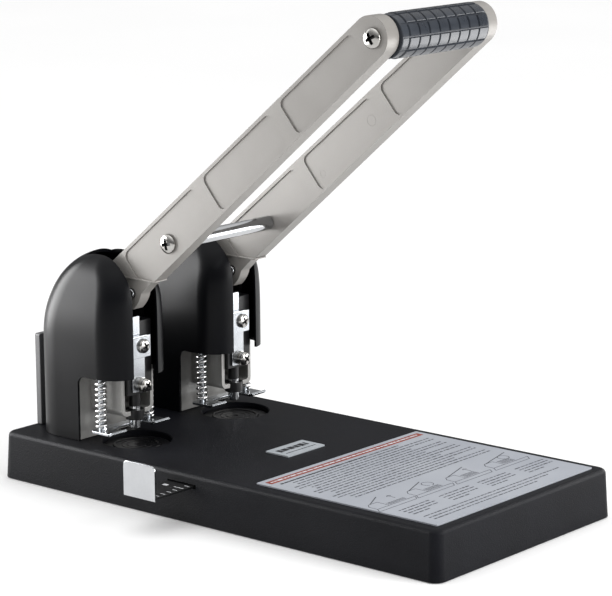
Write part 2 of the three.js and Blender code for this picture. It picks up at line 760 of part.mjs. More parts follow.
place(punch, 'base_mat', RUBBER, baseInside(GAP, 0, MAT_THICK));
place(
  punch, 'base_plate', BLACK_STEEL,
  baseInside(GAP, MAT_THICK + GAP, MAT_THICK + GAP + PLATE_THICK),
);
place(punch, 'base_shell', BLACK_PLASTIC, baseShell());
place(punch, 'instruction_label', LABEL_FILM, labelPlate());
place(punch, 'name_plate', LABEL_FILM, namePlate());
place(punch, 'rear_panel', COVER_PAINT, rearPanel());
place(punch, 'paper_guide', CHROME, paperGuide());

const gripAxis = [GRIP.x, 0, GRIP.z];
const crossAxis = [CROSS_ROD.x, 0, CROSS_ROD.z];

for (const [prefix, side] of [['left', -1], ['right', 1]]) {
  const head = new THREE.Group();
  head.position.y = (side * HOLE_SPACING) / 2;
  punch.add(head);

  place(head, `${prefix}_bracket`, GREY_PAINT, bracket());
  place(head, `${prefix}_guide_bush`, GREY_PAINT, guideBush());
  place(head, `${prefix}_yoke`, BLACK_STEEL, yoke());
  place(head, `${prefix}_pivot_axle`, NICKEL, pivotAxle());
  place(head, `${prefix}_cover`, COVER_PAINT, cover());
  place(head, `${prefix}_bracket_screw_outer`, NICKEL, bracketScrew(side * BRACKET_SCREW.y));
  place(head, `${prefix}_bracket_screw_inner`, NICKEL, bracketScrew(-side * BRACKET_SCREW.y));

  place(head, `${prefix}_slide_block`, BLACK_STEEL, slideBlock());
  place(head, `${prefix}_punch`, CHROME, punchTube());
  place(head, `${prefix}_clamp_strip`, NICKEL, clampStrip());
  place(head, `${prefix}_clamp_plate`, NICKEL, clampPlate());
  place(head, `${prefix}_upper_screw`, NICKEL, upperScrew());
  place(head, `${prefix}_lower_screw`, NICKEL, lowerScrew());
  place(head, `${prefix}_spring_bar`, NICKEL, springBar());

  place(head, `${prefix}_pressure_plate`, NICKEL, pressurePlate());
  place(head, `${prefix}_rod_outer`, NICKEL, guideRod(side * ROD.y));
  place(head, `${prefix}_rod_inner`, NICKEL, guideRod(-side * ROD.y));
  place(head, `${prefix}_spring_outer`, NICKEL, footSpring(side * ROD.y));
  place(head, `${prefix}_spring_inner`, NICKEL, footSpring(-side * ROD.y));

  place(head, `${prefix}_cutting_disc`, DISC_PLASTIC, cuttingDisc());

  place(head, `${prefix}_arm`, GREY_PAINT, arm());
  place(head, `${prefix}_drive_pin`, CHROME, drivePin());
  place(punch, `${prefix}_grip_screw`, NICKEL, armScrew(side, GRIP_THREAD, OUTER_FACE, gripAxis));
  place(
    punch, `${prefix}_cross_rod_screw`, NICKEL,
    armScrew(side, CROSS_THREAD, OUTER_FACE - ARM.panelDepth, crossAxis),
  );
}

const gripEnd = INNER_FACE - GAP;
place(punch, 'grip_core', BLACK_STEEL, spacerBar(GRIP.core, gripEnd, GRIP_THREAD, gripAxis));
place(punch, 'grip_sleeve', GRIP_PLASTIC, gripSleeve());
place(
  punch, 'cross_rod', CHROME,
  spacerBar(CROSS_ROD.radius, gripEnd + ARM.panelDepth, CROSS_THREAD, crossAxis),
);

export default punch;
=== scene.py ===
import math
import random

import bmesh
import bpy
from mathutils import Matrix, Vector


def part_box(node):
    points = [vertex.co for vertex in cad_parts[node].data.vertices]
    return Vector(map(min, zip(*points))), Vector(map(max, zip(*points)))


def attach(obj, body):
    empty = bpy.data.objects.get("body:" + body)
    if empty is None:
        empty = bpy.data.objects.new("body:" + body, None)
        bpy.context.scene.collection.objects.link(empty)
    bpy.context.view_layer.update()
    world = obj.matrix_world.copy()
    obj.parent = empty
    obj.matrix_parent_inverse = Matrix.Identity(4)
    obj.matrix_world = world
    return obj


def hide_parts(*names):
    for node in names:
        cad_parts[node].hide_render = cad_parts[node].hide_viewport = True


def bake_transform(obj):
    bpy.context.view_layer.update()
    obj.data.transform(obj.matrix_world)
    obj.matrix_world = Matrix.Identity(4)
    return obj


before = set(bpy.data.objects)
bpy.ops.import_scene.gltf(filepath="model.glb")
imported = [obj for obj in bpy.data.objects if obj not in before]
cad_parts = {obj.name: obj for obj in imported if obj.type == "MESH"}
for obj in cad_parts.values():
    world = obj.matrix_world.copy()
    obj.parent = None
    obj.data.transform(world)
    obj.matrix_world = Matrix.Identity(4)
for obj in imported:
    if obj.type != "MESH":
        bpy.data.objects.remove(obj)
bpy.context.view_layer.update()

# Outlines and profiles are in millimetres, and MM turns them into Blender's metres.
MM = 0.001
# Past everything, for the far ends of cutters.
FAR = 400.0

# --- camera

CAMERA_AT = (0.88227, -1.02818, 0.39633)
CAMERA_AZIMUTH = math.radians(40.44)
CAMERA_ELEVATION = math.radians(11.99)
CAMERA_ROLL = math.radians(-0.39)
LENS = 154.26


def make_camera():
    azimuth = CAMERA_AZIMUTH
    elevation = CAMERA_ELEVATION
    level = Vector((math.cos(azimuth), math.sin(azimuth), 0))
    back = Vector((
        math.sin(azimuth) * math.cos(elevation),
        -math.cos(azimuth) * math.cos(elevation),
        math.sin(elevation),
    ))
    upright = back.cross(level)
    right = math.cos(CAMERA_ROLL) * level + math.sin(CAMERA_ROLL) * upright
    up = back.cross(right)
    data = bpy.data.cameras.new("camera")
    data.lens = LENS
    data.sensor_width = 36
    data.clip_end = 60
    camera = bpy.data.objects.new("camera", data)
    turn = Matrix((right, up, back)).transposed().to_4x4()
    camera.matrix_world = Matrix.Translation(CAMERA_AT) @ turn
    bpy.context.scene.collection.objects.link(camera)
    bpy.context.scene.camera = camera


make_camera()

# --- sizes from the frame


def low(node):
    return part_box(node)[0] / MM


def high(node):
    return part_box(node)[1] / MM


def middle(node):
    return (low(node) + high(node)) / 2


def span(node):
    return low(node), high(node)


HEADS = (("left", -1), ("right", 1))
HOLE_SPACING = middle("right_punch").y - middle("left_punch").y
LEFT = middle("left_punch").y


def head_low(name):
    """The lowest corner of a left-hand node, in the punch head's own frame."""
    return low(f"left_{name}") - Vector((0, LEFT, 0))


def head_high(name):
    return high(f"left_{name}") - Vector((0, LEFT, 0))


def head_span(name):
    return head_low(name), head_high(name)


BASE_TOP = high("base_shell").z
DECK = low("instruction_label").z
PIVOT = middle("left_pivot_axle")
PIN = middle("left_drive_pin")
PUNCH = middle("left_punch")
DISC = middle("left_cutting_disc")
GRIP = middle("grip_core")
CROSS_ROD = middle("cross_rod")
ROD_X = middle("left_rod_outer").x
ROD_Y = abs(middle("left_rod_outer").y - LEFT)

# --- materials


def add_node(material, kind, **values):
    node = material.node_tree.nodes.new(kind)
    for name, value in values.items():
        if hasattr(node, name):
            setattr(node, name, value)
        else:
            node.inputs[name.replace("_", " ")].default_value = value
    return node


def noise_from(material, place, scale, detail):
    node = add_node(material, "ShaderNodeTexNoise", Scale=scale, Detail=detail)
    material.node_tree.links.new(place, node.inputs["Vector"])
    return node.outputs["Fac"]


# How much of the fine grain joins the broad patches, and the range that their sum spans.
FINE_SHARE = 0.35
PATTERN_RANGE = (0.45, 0.9)


def ranged(material, pattern, lo, hi):
    """The pattern's range stretched to run from lo to hi."""
    start, end = PATTERN_RANGE
    node = add_node(material, "ShaderNodeMapRange", From_Min=start, From_Max=end, To_Min=lo, To_Max=hi)
    material.node_tree.links.new(pattern, node.inputs["Value"])
    return node.outputs["Result"]


def surface(name, dark, light, rough, metallic=0.0, specular=0.5, broad=30, grain=1600,
            bump=0.1, depth=0.0001, spread=0.1, stretch=(1, 1, 1), sheen=0.0):
    """A finish whose colour wanders between two tones over "broad" patches, and whose gloss
    and height vary with a finer grain. Scales are in cycles per metre."""
    material = bpy.data.materials.new(name)
    material.use_nodes = True
    links = material.node_tree.links
    shader = material.node_tree.nodes["Principled BSDF"]
    shader.inputs["Metallic"].default_value = metallic
    shader.inputs["Specular IOR Level"].default_value = specular
    shader.inputs["Sheen Weight"].default_value = sheen
    coordinates = add_node(material, "ShaderNodeTexCoord")
    mapping = add_node(material, "ShaderNodeMapping", Scale=stretch)
    links.new(coordinates.outputs["Object"], mapping.inputs["Vector"])
    patches = noise_from(material, mapping.outputs["Vector"], broad, 4.0)
    fine = noise_from(material, mapping.outputs["Vector"], grain, 2.0)
    both = add_node(material, "ShaderNodeMath", operation="MULTIPLY_ADD")
    links.new(fine, both.inputs[0])
    both.inputs[1].default_value = FINE_SHARE
    links.new(patches, both.inputs[2])
    tone = ranged(material, both.outputs["Value"], 0, 1)
    # Inputs 6 and 7 and output 2 are the colour sockets of a Mix node.
    mix = add_node(material, "ShaderNodeMix", data_type="RGBA")
    mix.inputs[6].default_value = (*dark, 1)
    mix.inputs[7].default_value = (*light, 1)
    links.new(tone, mix.inputs["Factor"])
    links.new(mix.outputs[2], shader.inputs["Base Color"])
    gloss = ranged(material, both.outputs["Value"], rough - spread / 2, rough + spread / 2)
    links.new(gloss, shader.inputs["Roughness"])
    relief = add_node(material, "ShaderNodeBump", Strength=bump, Distance=depth)
    links.new(fine, relief.inputs["Height"])
    links.new(relief.outputs["Normal"], shader.inputs["Normal"])
    return material


BLACK_PLASTIC = surface(
    "black_plastic_grain", (0.004, 0.0042, 0.006), (0.0085, 0.009, 0.012), 0.5,
    specular=0.09, grain=1500, bump=0.55, depth=0.00025,
)
COVER_PAINT = surface(
    "cover_satin_paint", (0.0022, 0.0024, 0.0034), (0.0042, 0.0045, 0.006), 0.33,
    specular=0.12, grain=2400, bump=0.12, spread=0.05,
)
PANEL_PAINT = surface(
    "rear_panel_paint", (0.085, 0.086, 0.09), (0.12, 0.121, 0.126), 0.5,
    grain=2000, bump=0.2,
)
GREY_PAINT = surface(
    "warm_grey_paint", (0.275, 0.262, 0.246), (0.325, 0.311, 0.295), 0.4, metallic=0.1,
    specular=0.25, broad=22, grain=1900, bump=0.16, depth=0.00012,
)
SHEET_GREY = surface(
    "grey_sheet_steel", (0.25, 0.247, 0.238), (0.34, 0.336, 0.324), 0.38, metallic=0.3,
    broad=40, grain=1400, bump=0.14, stretch=(1, 1, 0.25),
)
BLACK_STEEL = surface(
    "blackened_steel", (0.004, 0.004, 0.0045), (0.012, 0.012, 0.013), 0.32, metallic=0.2,
    specular=0.35, grain=1800, bump=0.15,
)
ZINC = surface(
    "bright_zinc_plate", (0.43, 0.45, 0.475), (0.51, 0.53, 0.555), 0.2, metallic=0.95,
    broad=90, grain=2600, bump=0.06, spread=0.12,
)
SCREW_NICKEL = surface(
    "screw_nickel", (0.40, 0.39, 0.37), (0.52, 0.51, 0.49), 0.17, metallic=1.0,
    broad=200, grain=2600, bump=0.05, spread=0.06,
)
CHROME = surface(
    "polished_chrome", (0.49, 0.50, 0.515), (0.56, 0.57, 0.585), 0.12, metallic=1.0,
    broad=60, grain=900, bump=0.03, depth=0.00005, spread=0.05,
)
SPRING_STEEL = surface(
    "drawn_spring_wire", (0.58, 0.58, 0.58), (0.80, 0.80, 0.80), 0.2, metallic=1.0,
    broad=300, grain=3000, depth=0.00005, stretch=(1, 1, 4),
)
GRIP_PLASTIC = surface(
    "grip_soft_plastic", (0.016, 0.020, 0.028), (0.030, 0.036, 0.047), 0.3,
    broad=80, grain=2200, bump=0.2,
)
DISC_PLASTIC = surface(
    "disc_nylon", (0.005, 0.005, 0.006), (0.010, 0.010, 0.011), 0.32, specular=0.2,
    broad=90, grain=1800, bump=0.08,
)
RUBBER = surface(
    "mat_rubber", (0.006, 0.006, 0.006), (0.014, 0.014, 0.014), 0.8, specular=0.3,
    grain=1200, bump=0.5, depth=0.0002, sheen=0.1,
)
LABEL_FILM = surface(
    "label_film", (0.36, 0.38, 0.425), (0.415, 0.435, 0.475), 0.5, specular=0.2,
    broad=25, grain=2200, bump=0.08, depth=0.00005,
)
PLATE_FILM = surface(
    "name_plate_film", (0.38, 0.41, 0.44), (0.45, 0.48, 0.51), 0.45, specular=0.2,
    broad=60, grain=1800, bump=0.08, depth=0.00005, stretch=(1, 6, 1),
)


def ink(name, dark, light, rough=0.6, specular=0.1, broad=400):
    return surface(name, dark, light, rough, specular=specular, broad=broad, grain=3000, bump=0.05)


GREY_INK = ink("grey_ink", (0.06, 0.064, 0.075), (0.12, 0.125, 0.14))
BLACK_INK = ink("black_ink", (0.015, 0.015, 0.018), (0.04, 0.04, 0.045))
RED_INK = ink("red_ink", (0.24, 0.055, 0.04), (0.31, 0.085, 0.065), broad=200)
WHITE_INK = ink("white_ink", (0.55, 0.56, 0.58), (0.70, 0.71, 0.73), 0.5, 0.5, 300)

# --- outlines


def arc(cx, cy, radius, start, end, steps=8):
    """Points along an arc, with its angles in degrees."""
    points = []
    for i in range(steps + 1):
        angle = math.radians(start + (end - start) * i / steps)
        points.append((cx + radius * math.cos(angle), cy + radius * math.sin(angle)))
    return points


def bezier(a, b, c, steps=10):
    points = []
    for i in range(steps + 1):
        t = i / steps
        weights = ((1 - t) ** 2, 2 * t * (1 - t), t * t)
        points.append(tuple(sum(w * p[k] for w, p in zip(weights, (a, b, c))) for k in (0, 1)))
    return points


def corner_curve(before, here, after, radius, share, steps):
    """Points that round off a corner. They reach at most that share of the way to the
    points on either side of it."""
    corner = Vector(here)
    back = Vector(before) - corner
    ahead = Vector(after) - corner
    reach = min(radius, share * back.length, share * ahead.length)
    if reach <= 0:
        return [tuple(corner)]
    start = corner + back.normalized() * reach
    end = corner + ahead.normalized() * reach
    return bezier(start, corner, end, steps)


def rounded(points, radius, steps=5):
    """The closed outline with a curve of about that radius at each corner. "radius" is one
    number, or one for each corner."""
    radii = radius if isinstance(radius, list) else [radius] * len(points)
    outline = []
    for i, here in enumerate(points):
        after = points[(i + 1) % len(points)]
        outline += corner_curve(points[i - 1], here, after, radii[i], 0.49, steps)
    return outline


def softened(profile, radius, steps=3):
    """An open profile whose inner corners are rounded."""
    outline = [profile[0]]
    for before, here, after in zip(profile, profile[1:], profile[2:]):
        outline += corner_curve(before, here, after, radius, 0.45, steps)
    outline.append(profile[-1])
    return outline


def rectangle(a0, a1, b0, b1):
    return [(a0, b0), (a1, b0), (a1, b1), (a0, b1)]


def rounded_ring(rear, front, half, rear_radius, front_radius, steps=12):
    """A rounded outline with one radius for its front corners and one for its rear corners."""
    points = arc(front - front_radius, -half + front_radius, front_radius, -90, 0, steps)
    points += arc(front - front_radius, half - front_radius, front_radius, 0, 90, steps)
    points += arc(rear + rear_radius, half - rear_radius, rear_radius, 90, 180, steps)
    points += arc(rear + rear_radius, -half + rear_radius, rear_radius, 180, 270, steps)
    return points


# --- meshes


def to_mesh(name, bm, smooth=35):
    """Turns a bmesh in millimetres into a mesh in metres."""
    bmesh.ops.recalc_face_normals(bm, faces=bm.faces)
    mesh = bpy.data.meshes.new(name)
    bm.to_mesh(mesh)
    bm.free()
    mesh.transform(Matrix.Scale(MM, 4))
    shade(mesh, smooth)
    return mesh


def shade(mesh, smooth):
    mesh.shade_smooth()
    mesh.set_sharp_from_angle(angle=math.radians(smooth))


def skin(name, rings, closed=False, smooth=35):
    """A mesh through a stack of rings of points. A closed one joins its last ring to its
    first, and the others are capped at both ends."""
    bm = bmesh.new()
    rows = [[bm.verts.new(point) for point in ring] for ring in rings]
    pairs = list(zip(rows, rows[1:]))
    if closed:
        pairs.append((rows[-1], rows[0]))
    count = len(rows[0])
    for near, far in pairs:
        for i in range(count):
            j = (i + 1) % count
            bm.faces.new((near[i], near[j], far[j], far[i]))
    if not closed:
        bm.faces.new(list(reversed(rows[0])))
        bm.faces.new(rows[-1])
    return to_mesh(name, bm, smooth)


AXES = {
    "x": lambda a, b, c: (c, a, b),
    "y": lambda a, b, c: (a, c, b),
    "z": lambda a, b, c: (a, b, c),
}


def prism(name, outline, axis, lo, hi):
    """An outline drawn square to an axis, and thick from lo to hi along it."""
    place = AXES[axis]
    rings = [[place(a, b, c) for a, b in outline] for c in (lo, hi)]
    return skin(name, rings)


def block(name, x0, x1, y0, y1, z0, z1):
    return prism(name, rectangle(x0, x1, y0, y1), "z", z0, z1)


def turned(name, profile, axis="z", at=(0, 0, 0), segments=48):
    """A solid of revolution. A profile of (radius, height) that starts and ends on the axis
    is capped there, and any other closes on itself."""
    place = AXES[axis]
    on_axis = profile[0][0] == 0
    rings = []
    for radius, height in profile:
        if radius == 0:
            continue
        ring = []
        for a, b in arc(0, 0, radius, 0, 360, segments)[:-1]:
            x, y, z = place(a, b, height)
            ring.append((x + at[0], y + at[1], z + at[2]))
        rings.append(ring)
    return skin(name, rings, closed=not on_axis)


def rod_profile(radius, lo, hi):
    return [(0, lo), (radius, lo), (radius, hi), (0, hi)]


def modified(mesh, steps, smooth=35):
    """The mesh with a list of (modifier type, settings) applied to it."""
    scratch = bpy.data.objects.new("scratch", mesh)
    bpy.context.scene.collection.objects.link(scratch)
    for kind, settings in steps:
        modifier = scratch.modifiers.new(kind, kind)
        for key, value in settings.items():
            setattr(modifier, key, value)
    depsgraph = bpy.context.evaluated_depsgraph_get()
    result = bpy.data.meshes.new_from_object(scratch.evaluated_get(depsgraph))
    bpy.data.objects.remove(scratch)
    if smooth:
        shade(result, smooth)
    return result


def cut(mesh, *others):
    """The mesh with each of the others cut out of it in turn."""
    tools = []
    steps = []
    for other in others:
        tool = bpy.data.objects.new("tool", other)
        bpy.context.scene.collection.objects.link(tool)
        tools.append(tool)
        steps.append(("BOOLEAN", {"operation": "DIFFERENCE", "object": tool, "solver": "EXACT"}))
    result = modified(mesh, steps)
    for tool in tools:
        bpy.data.objects.remove(tool)
    return result


def eased(mesh, width, segments=2, angle=35):
    """The mesh with its edges rounded over."""
    bevel = {
        "width": width * MM,
        "segments": segments,
        "limit_method": "ANGLE",
        "angle_limit": math.radians(angle),
        "miter_outer": "MITER_ARC",
        "use_clamp_overlap": True,
    }
    weld = {"merge_threshold": 0.004 * MM}
    return modified(mesh, [("WELD", weld), ("BEVEL", bevel)], smooth=40)


def gathered(name, meshes):
    """Several closed meshes as the islands of one."""
    bm = bmesh.new()
    for mesh in meshes:
        bm.from_mesh(mesh)
    result = bpy.data.meshes.new(name)
    bm.to_mesh(result)
    bm.free()
    shade(result, 38)
    return result


def moved(mesh, x=0.0, y=0.0):
    copy = mesh.copy()
    copy.transform(Matrix.Translation(Vector((x, y, 0)) * MM))
    return copy


def add_piece(name, mesh, material, slot, body, *nodes):
    """Shows a mesh as a piece of the object, on a body, in place of some CAD nodes."""
    flat_faces = {"keep_sharp": True, "weight": 100}
    final = modified(mesh, [("WEIGHTED_NORMAL", flat_faces)], smooth=None)
    piece = bpy.data.objects.new(name, final)
    bpy.context.scene.collection.objects.link(piece)
    if not final.materials:
        final.materials.append(material)
    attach(piece, body)
    if nodes:
        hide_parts(*nodes)


def keep_node(name, material):
    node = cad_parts[name]
    node.data.materials.clear()
    node.data.materials.append(material)


# --- fasteners

# Shares of a screw head's radius: its cross recess, and the neck above a washer.
CROSS_REACH = 0.7
CROSS_WIDTH = 0.17
NECK_RADIUS = 0.72
# Shares of its height: the straight rim, and the metal left under the recess.
RIM_HEIGHT = 0.3
CROSS_FLOOR = 0.12


def screw_mesh(name, radius, height, shank, length, washers=(), turn=20):
    """A pan-head screw that points up +Z, with its seat at z = 0 and a cross recess painted black
    as shade. Washers are (radius, thickness) from the seat up."""
    profile = [(0, -length), (shank, -length), (shank, 0)]
    base = 0.0
    for washer_radius, thickness in washers:
        profile += [(washer_radius, base), (washer_radius, base + thickness)]
        base += thickness
        profile.append((radius * NECK_RADIUS, base))
    rim_height = height * RIM_HEIGHT
    dome_height = height - rim_height
    rim = base + rim_height
    profile += [(radius, base), (radius, rim)]
    for angle in range(12, 90, 11):
        climb = math.radians(angle)
        profile.append((radius * math.cos(climb), rim + dome_height * math.sin(climb)))
    top = base + height
    profile.append((0, top))
    head = turned(name, softened(profile, 0.18, 2), segments=40)
    floor = base + height * CROSS_FLOOR
    arm = radius * CROSS_REACH
    width = radius * CROSS_WIDTH
    shade_painted_slots = []
    for angle in (turn, turn + 90):
        rings = []
        for z, reach in ((floor, 0.45 * arm), (top + 1, 1.12 * arm)):
            half = width * (0.7 if z == floor else 1.15)
            corners = rectangle(-reach, reach, -half, half)
            spin = Matrix.Rotation(math.radians(angle), 2)
            rings.append([(*(spin @ Vector(corner)), z) for corner in corners])
        shade_painted_slots.append(skin("slot", rings))
    # The cutters carry the black steel finish, so the walls and floor of the cross recess come out
    # black: painted shade in the recess.
    for mesh in (head, *shade_painted_slots):
        mesh.materials.append(SCREW_NICKEL)
        mesh.materials.append(BLACK_STEEL)
    for slot in shade_painted_slots:
        slot.polygons.foreach_set("material_index", [1] * len(slot.polygons))
    return cut(head, *shade_painted_slots)


def pointed(mesh, direction, at):
    """A mesh that points up +Z, turned towards a direction and moved to a point in mm."""
    turn = Vector((0, 0, 1)).rotation_difference(Vector(direction)).to_matrix().to_4x4()
    mesh.transform(Matrix.Translation(Vector(at) * MM) @ turn)
    return mesh


# --- base

BASE_RIM = 0.3
BASE_DRAFT = 1.2
BASE_FILLET = 2.4
BASE_CORNER = 6.0
BASE_WALL = 4.2
BASE_SLAB = 16.0
# The lower edge's rounding, as (height above the rim, inset).
BASE_FOOT_EDGE = ((0, 0.4), (0.12, 0.12), (0.4, 0))
DISC_SEAT = 19.0
SEAT_CHAMFER = 0.5
CHANNEL_END = 42.0
CHANNEL_GAP = 0.5


def base_ring(z, inset):
    half_length = high("base_shell").x - inset
    half_width = high("base_shell").y - inset
    radius = BASE_CORNER - inset / 2
    outline = rounded_ring(-half_length, half_length, half_width, radius, radius)
    return [(x, y, z) for x, y in outline]


def base_mesh():
    shoulder = BASE_TOP - BASE_FILLET
    rings = [base_ring(BASE_RIM + z, inset) for z, inset in BASE_FOOT_EDGE]
    for share in (0.35, 0.7):
        rings.append(base_ring(BASE_RIM + share * (shoulder - BASE_RIM), share * BASE_DRAFT))
    for i in range(9):
        angle = math.radians(90 * i / 8)
        inset = BASE_DRAFT + BASE_FILLET * (1 - math.cos(angle))
        rings.append(base_ring(shoulder + BASE_FILLET * math.sin(angle), inset))
    body = skin("base", rings)
    hollow = [[(x, y, z) for x, y, _ in base_ring(0, BASE_WALL)] for z in (-5.0, BASE_SLAB)]
    guide = low("paper_guide")
    bottom = guide.z - CHANNEL_GAP
    top = guide.z + GUIDE_SHEET + CHANNEL_GAP
    channel = block("channel", guide.x + 1, high("paper_guide").x - 1, -FAR, CHANNEL_END, bottom, top)
    floor = low("left_cutting_disc").z - 0.3
    mouth = DISC_SEAT + SEAT_CHAMFER
    above = BASE_TOP + 2
    seat = [(0, floor), (DISC_SEAT, floor), (DISC_SEAT, BASE_TOP - SEAT_CHAMFER)]
    seat += [(mouth, BASE_TOP + 0.01), (mouth, above), (0, above)]
    tools = [skin("hollow", hollow), channel]
    for _, side in HEADS:
        y = side * HOLE_SPACING / 2
        tools.append(turned("seat", seat, at=(DISC.x, y, 0), segments=72))
    return cut(body, *tools)


def build_base():
    add_piece("base_housing", base_mesh(), BLACK_PLASTIC, "black_plastic", "root", "base_shell")
    lo, hi = span("rear_panel")
    outline = rectangle(lo.y, hi.y, lo.z, hi.z)
    panel = prism("panel", rounded(outline, [0.6, 0.6, 1.2, 1.2]), "x", lo.x, hi.x)
    add_piece("upright_panel", eased(panel, 0.6, 3), PANEL_PAINT, "cover_paint", "root", "rear_panel")
    keep_node("base_mat", RUBBER)
    keep_node("base_plate", BLACK_STEEL)


# --- printed label

PRINT_LIFT = 0.03
PRINT_THICK = 0.06

# Places along the label, from its rear edge, and the pitch of its rows.
TITLE_BAR = (3.2, 7.8)
TITLE_LINE = 5.5
FIRST_ROW = 11.2
ROW_PITCH = 3.15
ROWS = 15
DRAWING_LINE = 74
FIRST_CAPTION = 87
CAPTION_PITCH = 3.0
FIRST_NOTE = 102.5
NOTE_PITCH = 3.2
# Across it: the drawings' middles, and the step between the blocks of captions.
DRAWINGS_Y = (-50, -19, 13, 46)
CAPTION_STEP = 32.2
DRAWING_SCALE = 1.35
PEN = 0.42


class Print:
    """Flat ink marks on a level face, gathered into one mesh."""

    def __init__(self, z):
        self.z = z
        self.bm = bmesh.new()

    def bar(self, x0, x1, y0, y1):
        self.quad([(x0, y0), (x1, y0), (x1, y1), (x0, y1)])

    def quad(self, corners):
        bottom = [self.bm.verts.new((x, y, self.z - PRINT_THICK + PRINT_LIFT)) for x, y in corners]
        top = [self.bm.verts.new((x, y, self.z + PRINT_LIFT)) for x, y in corners]
        self.bm.faces.new(list(reversed(bottom)))
        self.bm.faces.new(top)
        for i in range(4):
            j = (i + 1) % 4
            self.bm.faces.new((bottom[i], bottom[j], top[j], top[i]))

    def line(self, start, end, width):
        a = Vector(start)
        b = Vector(end)
        across = (b - a).normalized().orthogonal() * width / 2
        self.quad([tuple(a + across), tuple(a - across), tuple(b - across), tuple(b + across)])

    def path(self, points, width, closed=False):
        ends = points[1:] + points[:1] if closed else points[1:]
        for a, b in zip(points, ends):
            self.line(a, b, width)

    def words(self, x, y0, y1, height, chance):
        """A row of short marks of different lengths, as a line of small print."""
        y = y0
        while y < y1 - 1:
            length = min(chance.uniform(1.2, 4.6), y1 - y)
            rise = height * chance.uniform(0.7, 1.0)
            self.bar(x - rise / 2, x + rise / 2, y, y + length)
            y += length + chance.uniform(0.5, 0.9)

    def mesh(self, name):
        return to_mesh(name, self.bm)


def drawing(marks, cx, cy, kind):
    """A small line drawing of a lever tool beside a stack of sheets."""

    def at(points):
        return [(cx + DRAWING_SCALE * x, cy + DRAWING_SCALE * y) for x, y in points]

    marks.path(at([(5, -12), (5, 10), (2.5, 12), (2.5, -10)]), PEN, closed=True)
    marks.path(at([(2.5, -10), (-1.5, -10), (-3.5, -8), (-3.5, -3), (2.5, -3)]), PEN)
    marks.path(at([(-3.5, -7), (-8, 2 + 3 * kind)]), PEN * 1.5)
    for i in range(3 + kind):
        marks.path(at([(1.6 - 0.7 * i, -2), (1.6 - 0.7 * i, 8 - kind)]), PEN)
    if kind % 2:
        marks.path(at(arc(-4, 5, 2.4, 0, 330, 10)), PEN)
    else:
        marks.path(at([(-2, 6), (-6, 6), (-5, 7.2), (-6, 6), (-5, 4.8)]), PEN)


def build_label():
    chance = random.Random(4)
    lo, hi = span("instruction_label")
    thick = hi.z - lo.z
    outline = rounded(rectangle(lo.x, hi.x, lo.y, hi.y), 1)
    plate = eased(prism("label", outline, "z", BASE_TOP - 0.05, DECK + thick), 0.12, 2)
    add_piece("label_sheet", plate, LABEL_FILM, "label_film", "root", "instruction_label")

    top = DECK + thick
    edge = hi.y - 3.2
    red = Print(top)
    red.bar(lo.x + TITLE_BAR[0], lo.x + TITLE_BAR[1], -edge, edge)
    add_piece("label_title_bar", red.mesh("title_bar"), RED_INK, "label_film", "root")

    title = Print(top + 0.04)
    title.words(lo.x + TITLE_LINE, -edge + 2, edge - 2, 1.5, chance)
    add_piece("label_title_marks", title.mesh("title_marks"), WHITE_INK, "label_film", "root")

    grey = Print(top)
    for i in range(ROWS):
        x = lo.x + FIRST_ROW + ROW_PITCH * i
        indent = 9 if i % 4 in (1, 2) else 3
        end = edge - (4 if i % 3 else 26)
        grey.words(x, -edge + indent, end, 1.15, chance)
    for kind, y in enumerate(DRAWINGS_Y):
        drawing(grey, lo.x + DRAWING_LINE, y, kind)
        for i in range(4):
            x = lo.x + FIRST_CAPTION + CAPTION_PITCH * i
            y0 = -edge + 4 + CAPTION_STEP * kind
            grey.words(x, y0, y0 + (25 if i < 3 else 14), 1.05, chance)
    for i in range(3):
        grey.words(lo.x + FIRST_NOTE + NOTE_PITCH * i, -edge + 4, edge - 8 - 14 * i, 1.05, chance)
    add_piece("label_small_print", grey.mesh("small_print"), GREY_INK, "label_film", "root")

    bold = Print(top + 0.03)
    bold.words(lo.x + FIRST_ROW, -edge + 3, 8, 1.5, chance)
    add_piece("label_bold_print", bold.mesh("bold_print"), BLACK_INK, "label_film", "root")


def build_name_plate():
    lo, hi = span("name_plate")
    outline = rounded(rectangle(lo.x, hi.x, lo.y, hi.y), 0.4)
    plate = eased(prism("plate", outline, "z", BASE_TOP - 0.05, hi.z), 0.15, 2)
    add_piece("name_plate_sheet", plate, PLATE_FILM, "label_film", "root", "name_plate")
    marks = Print(hi.z)
    chance = random.Random(9)
    x = (lo.x + hi.x) / 2
    marks.words(x - 1.6, lo.y + 3, hi.y - 3, 5.6, chance)
    marks.bar(x + 3.6, x + 4.3, lo.y + 3, hi.y - 3)
    add_piece("name_plate_marks", marks.mesh("plate_marks"), BLACK_INK, "label_film", "root")


# --- paper guide

GUIDE_SHEET = 1.2
SCALE_MARKS = 22
SCALE_PITCH = 4.5


def build_guide():
    lo, hi = span("paper_guide")
    outline = rectangle(lo.x, hi.x, lo.z, hi.z)
    tab = prism("tab", rounded(outline, [0, 0, 3.2, 3.2]), "y", lo.y, lo.y + GUIDE_SHEET)
    tab_face = eased(tab, 0.3, 3)
    add_piece("guide_tab", tab_face, CHROME, "chrome", "guide", "paper_guide")
    strip = block("strip", lo.x + 2, hi.x - 2, lo.y + GUIDE_SHEET / 2, hi.y, lo.z, lo.z + GUIDE_SHEET)
    add_piece("guide_strip", eased(strip, 0.25, 2), BLACK_STEEL, "black_steel", "guide")
    marks = Print(lo.z + GUIDE_SHEET)
    for i in range(SCALE_MARKS):
        y = lo.y + 6 + SCALE_PITCH * i
        reach = 6.5 if i % 4 == 0 else 3.2
        marks.bar(hi.x - 3 - reach, hi.x - 3, y, y + 0.55)
        if i % 4 == 0:
            marks.bar(lo.x + 5, lo.x + 8.2, y - 0.9, y + 1.3)
    add_piece("guide_scale", marks.mesh("guide_scale"), WHITE_INK, "chrome", "guide")


# --- cover

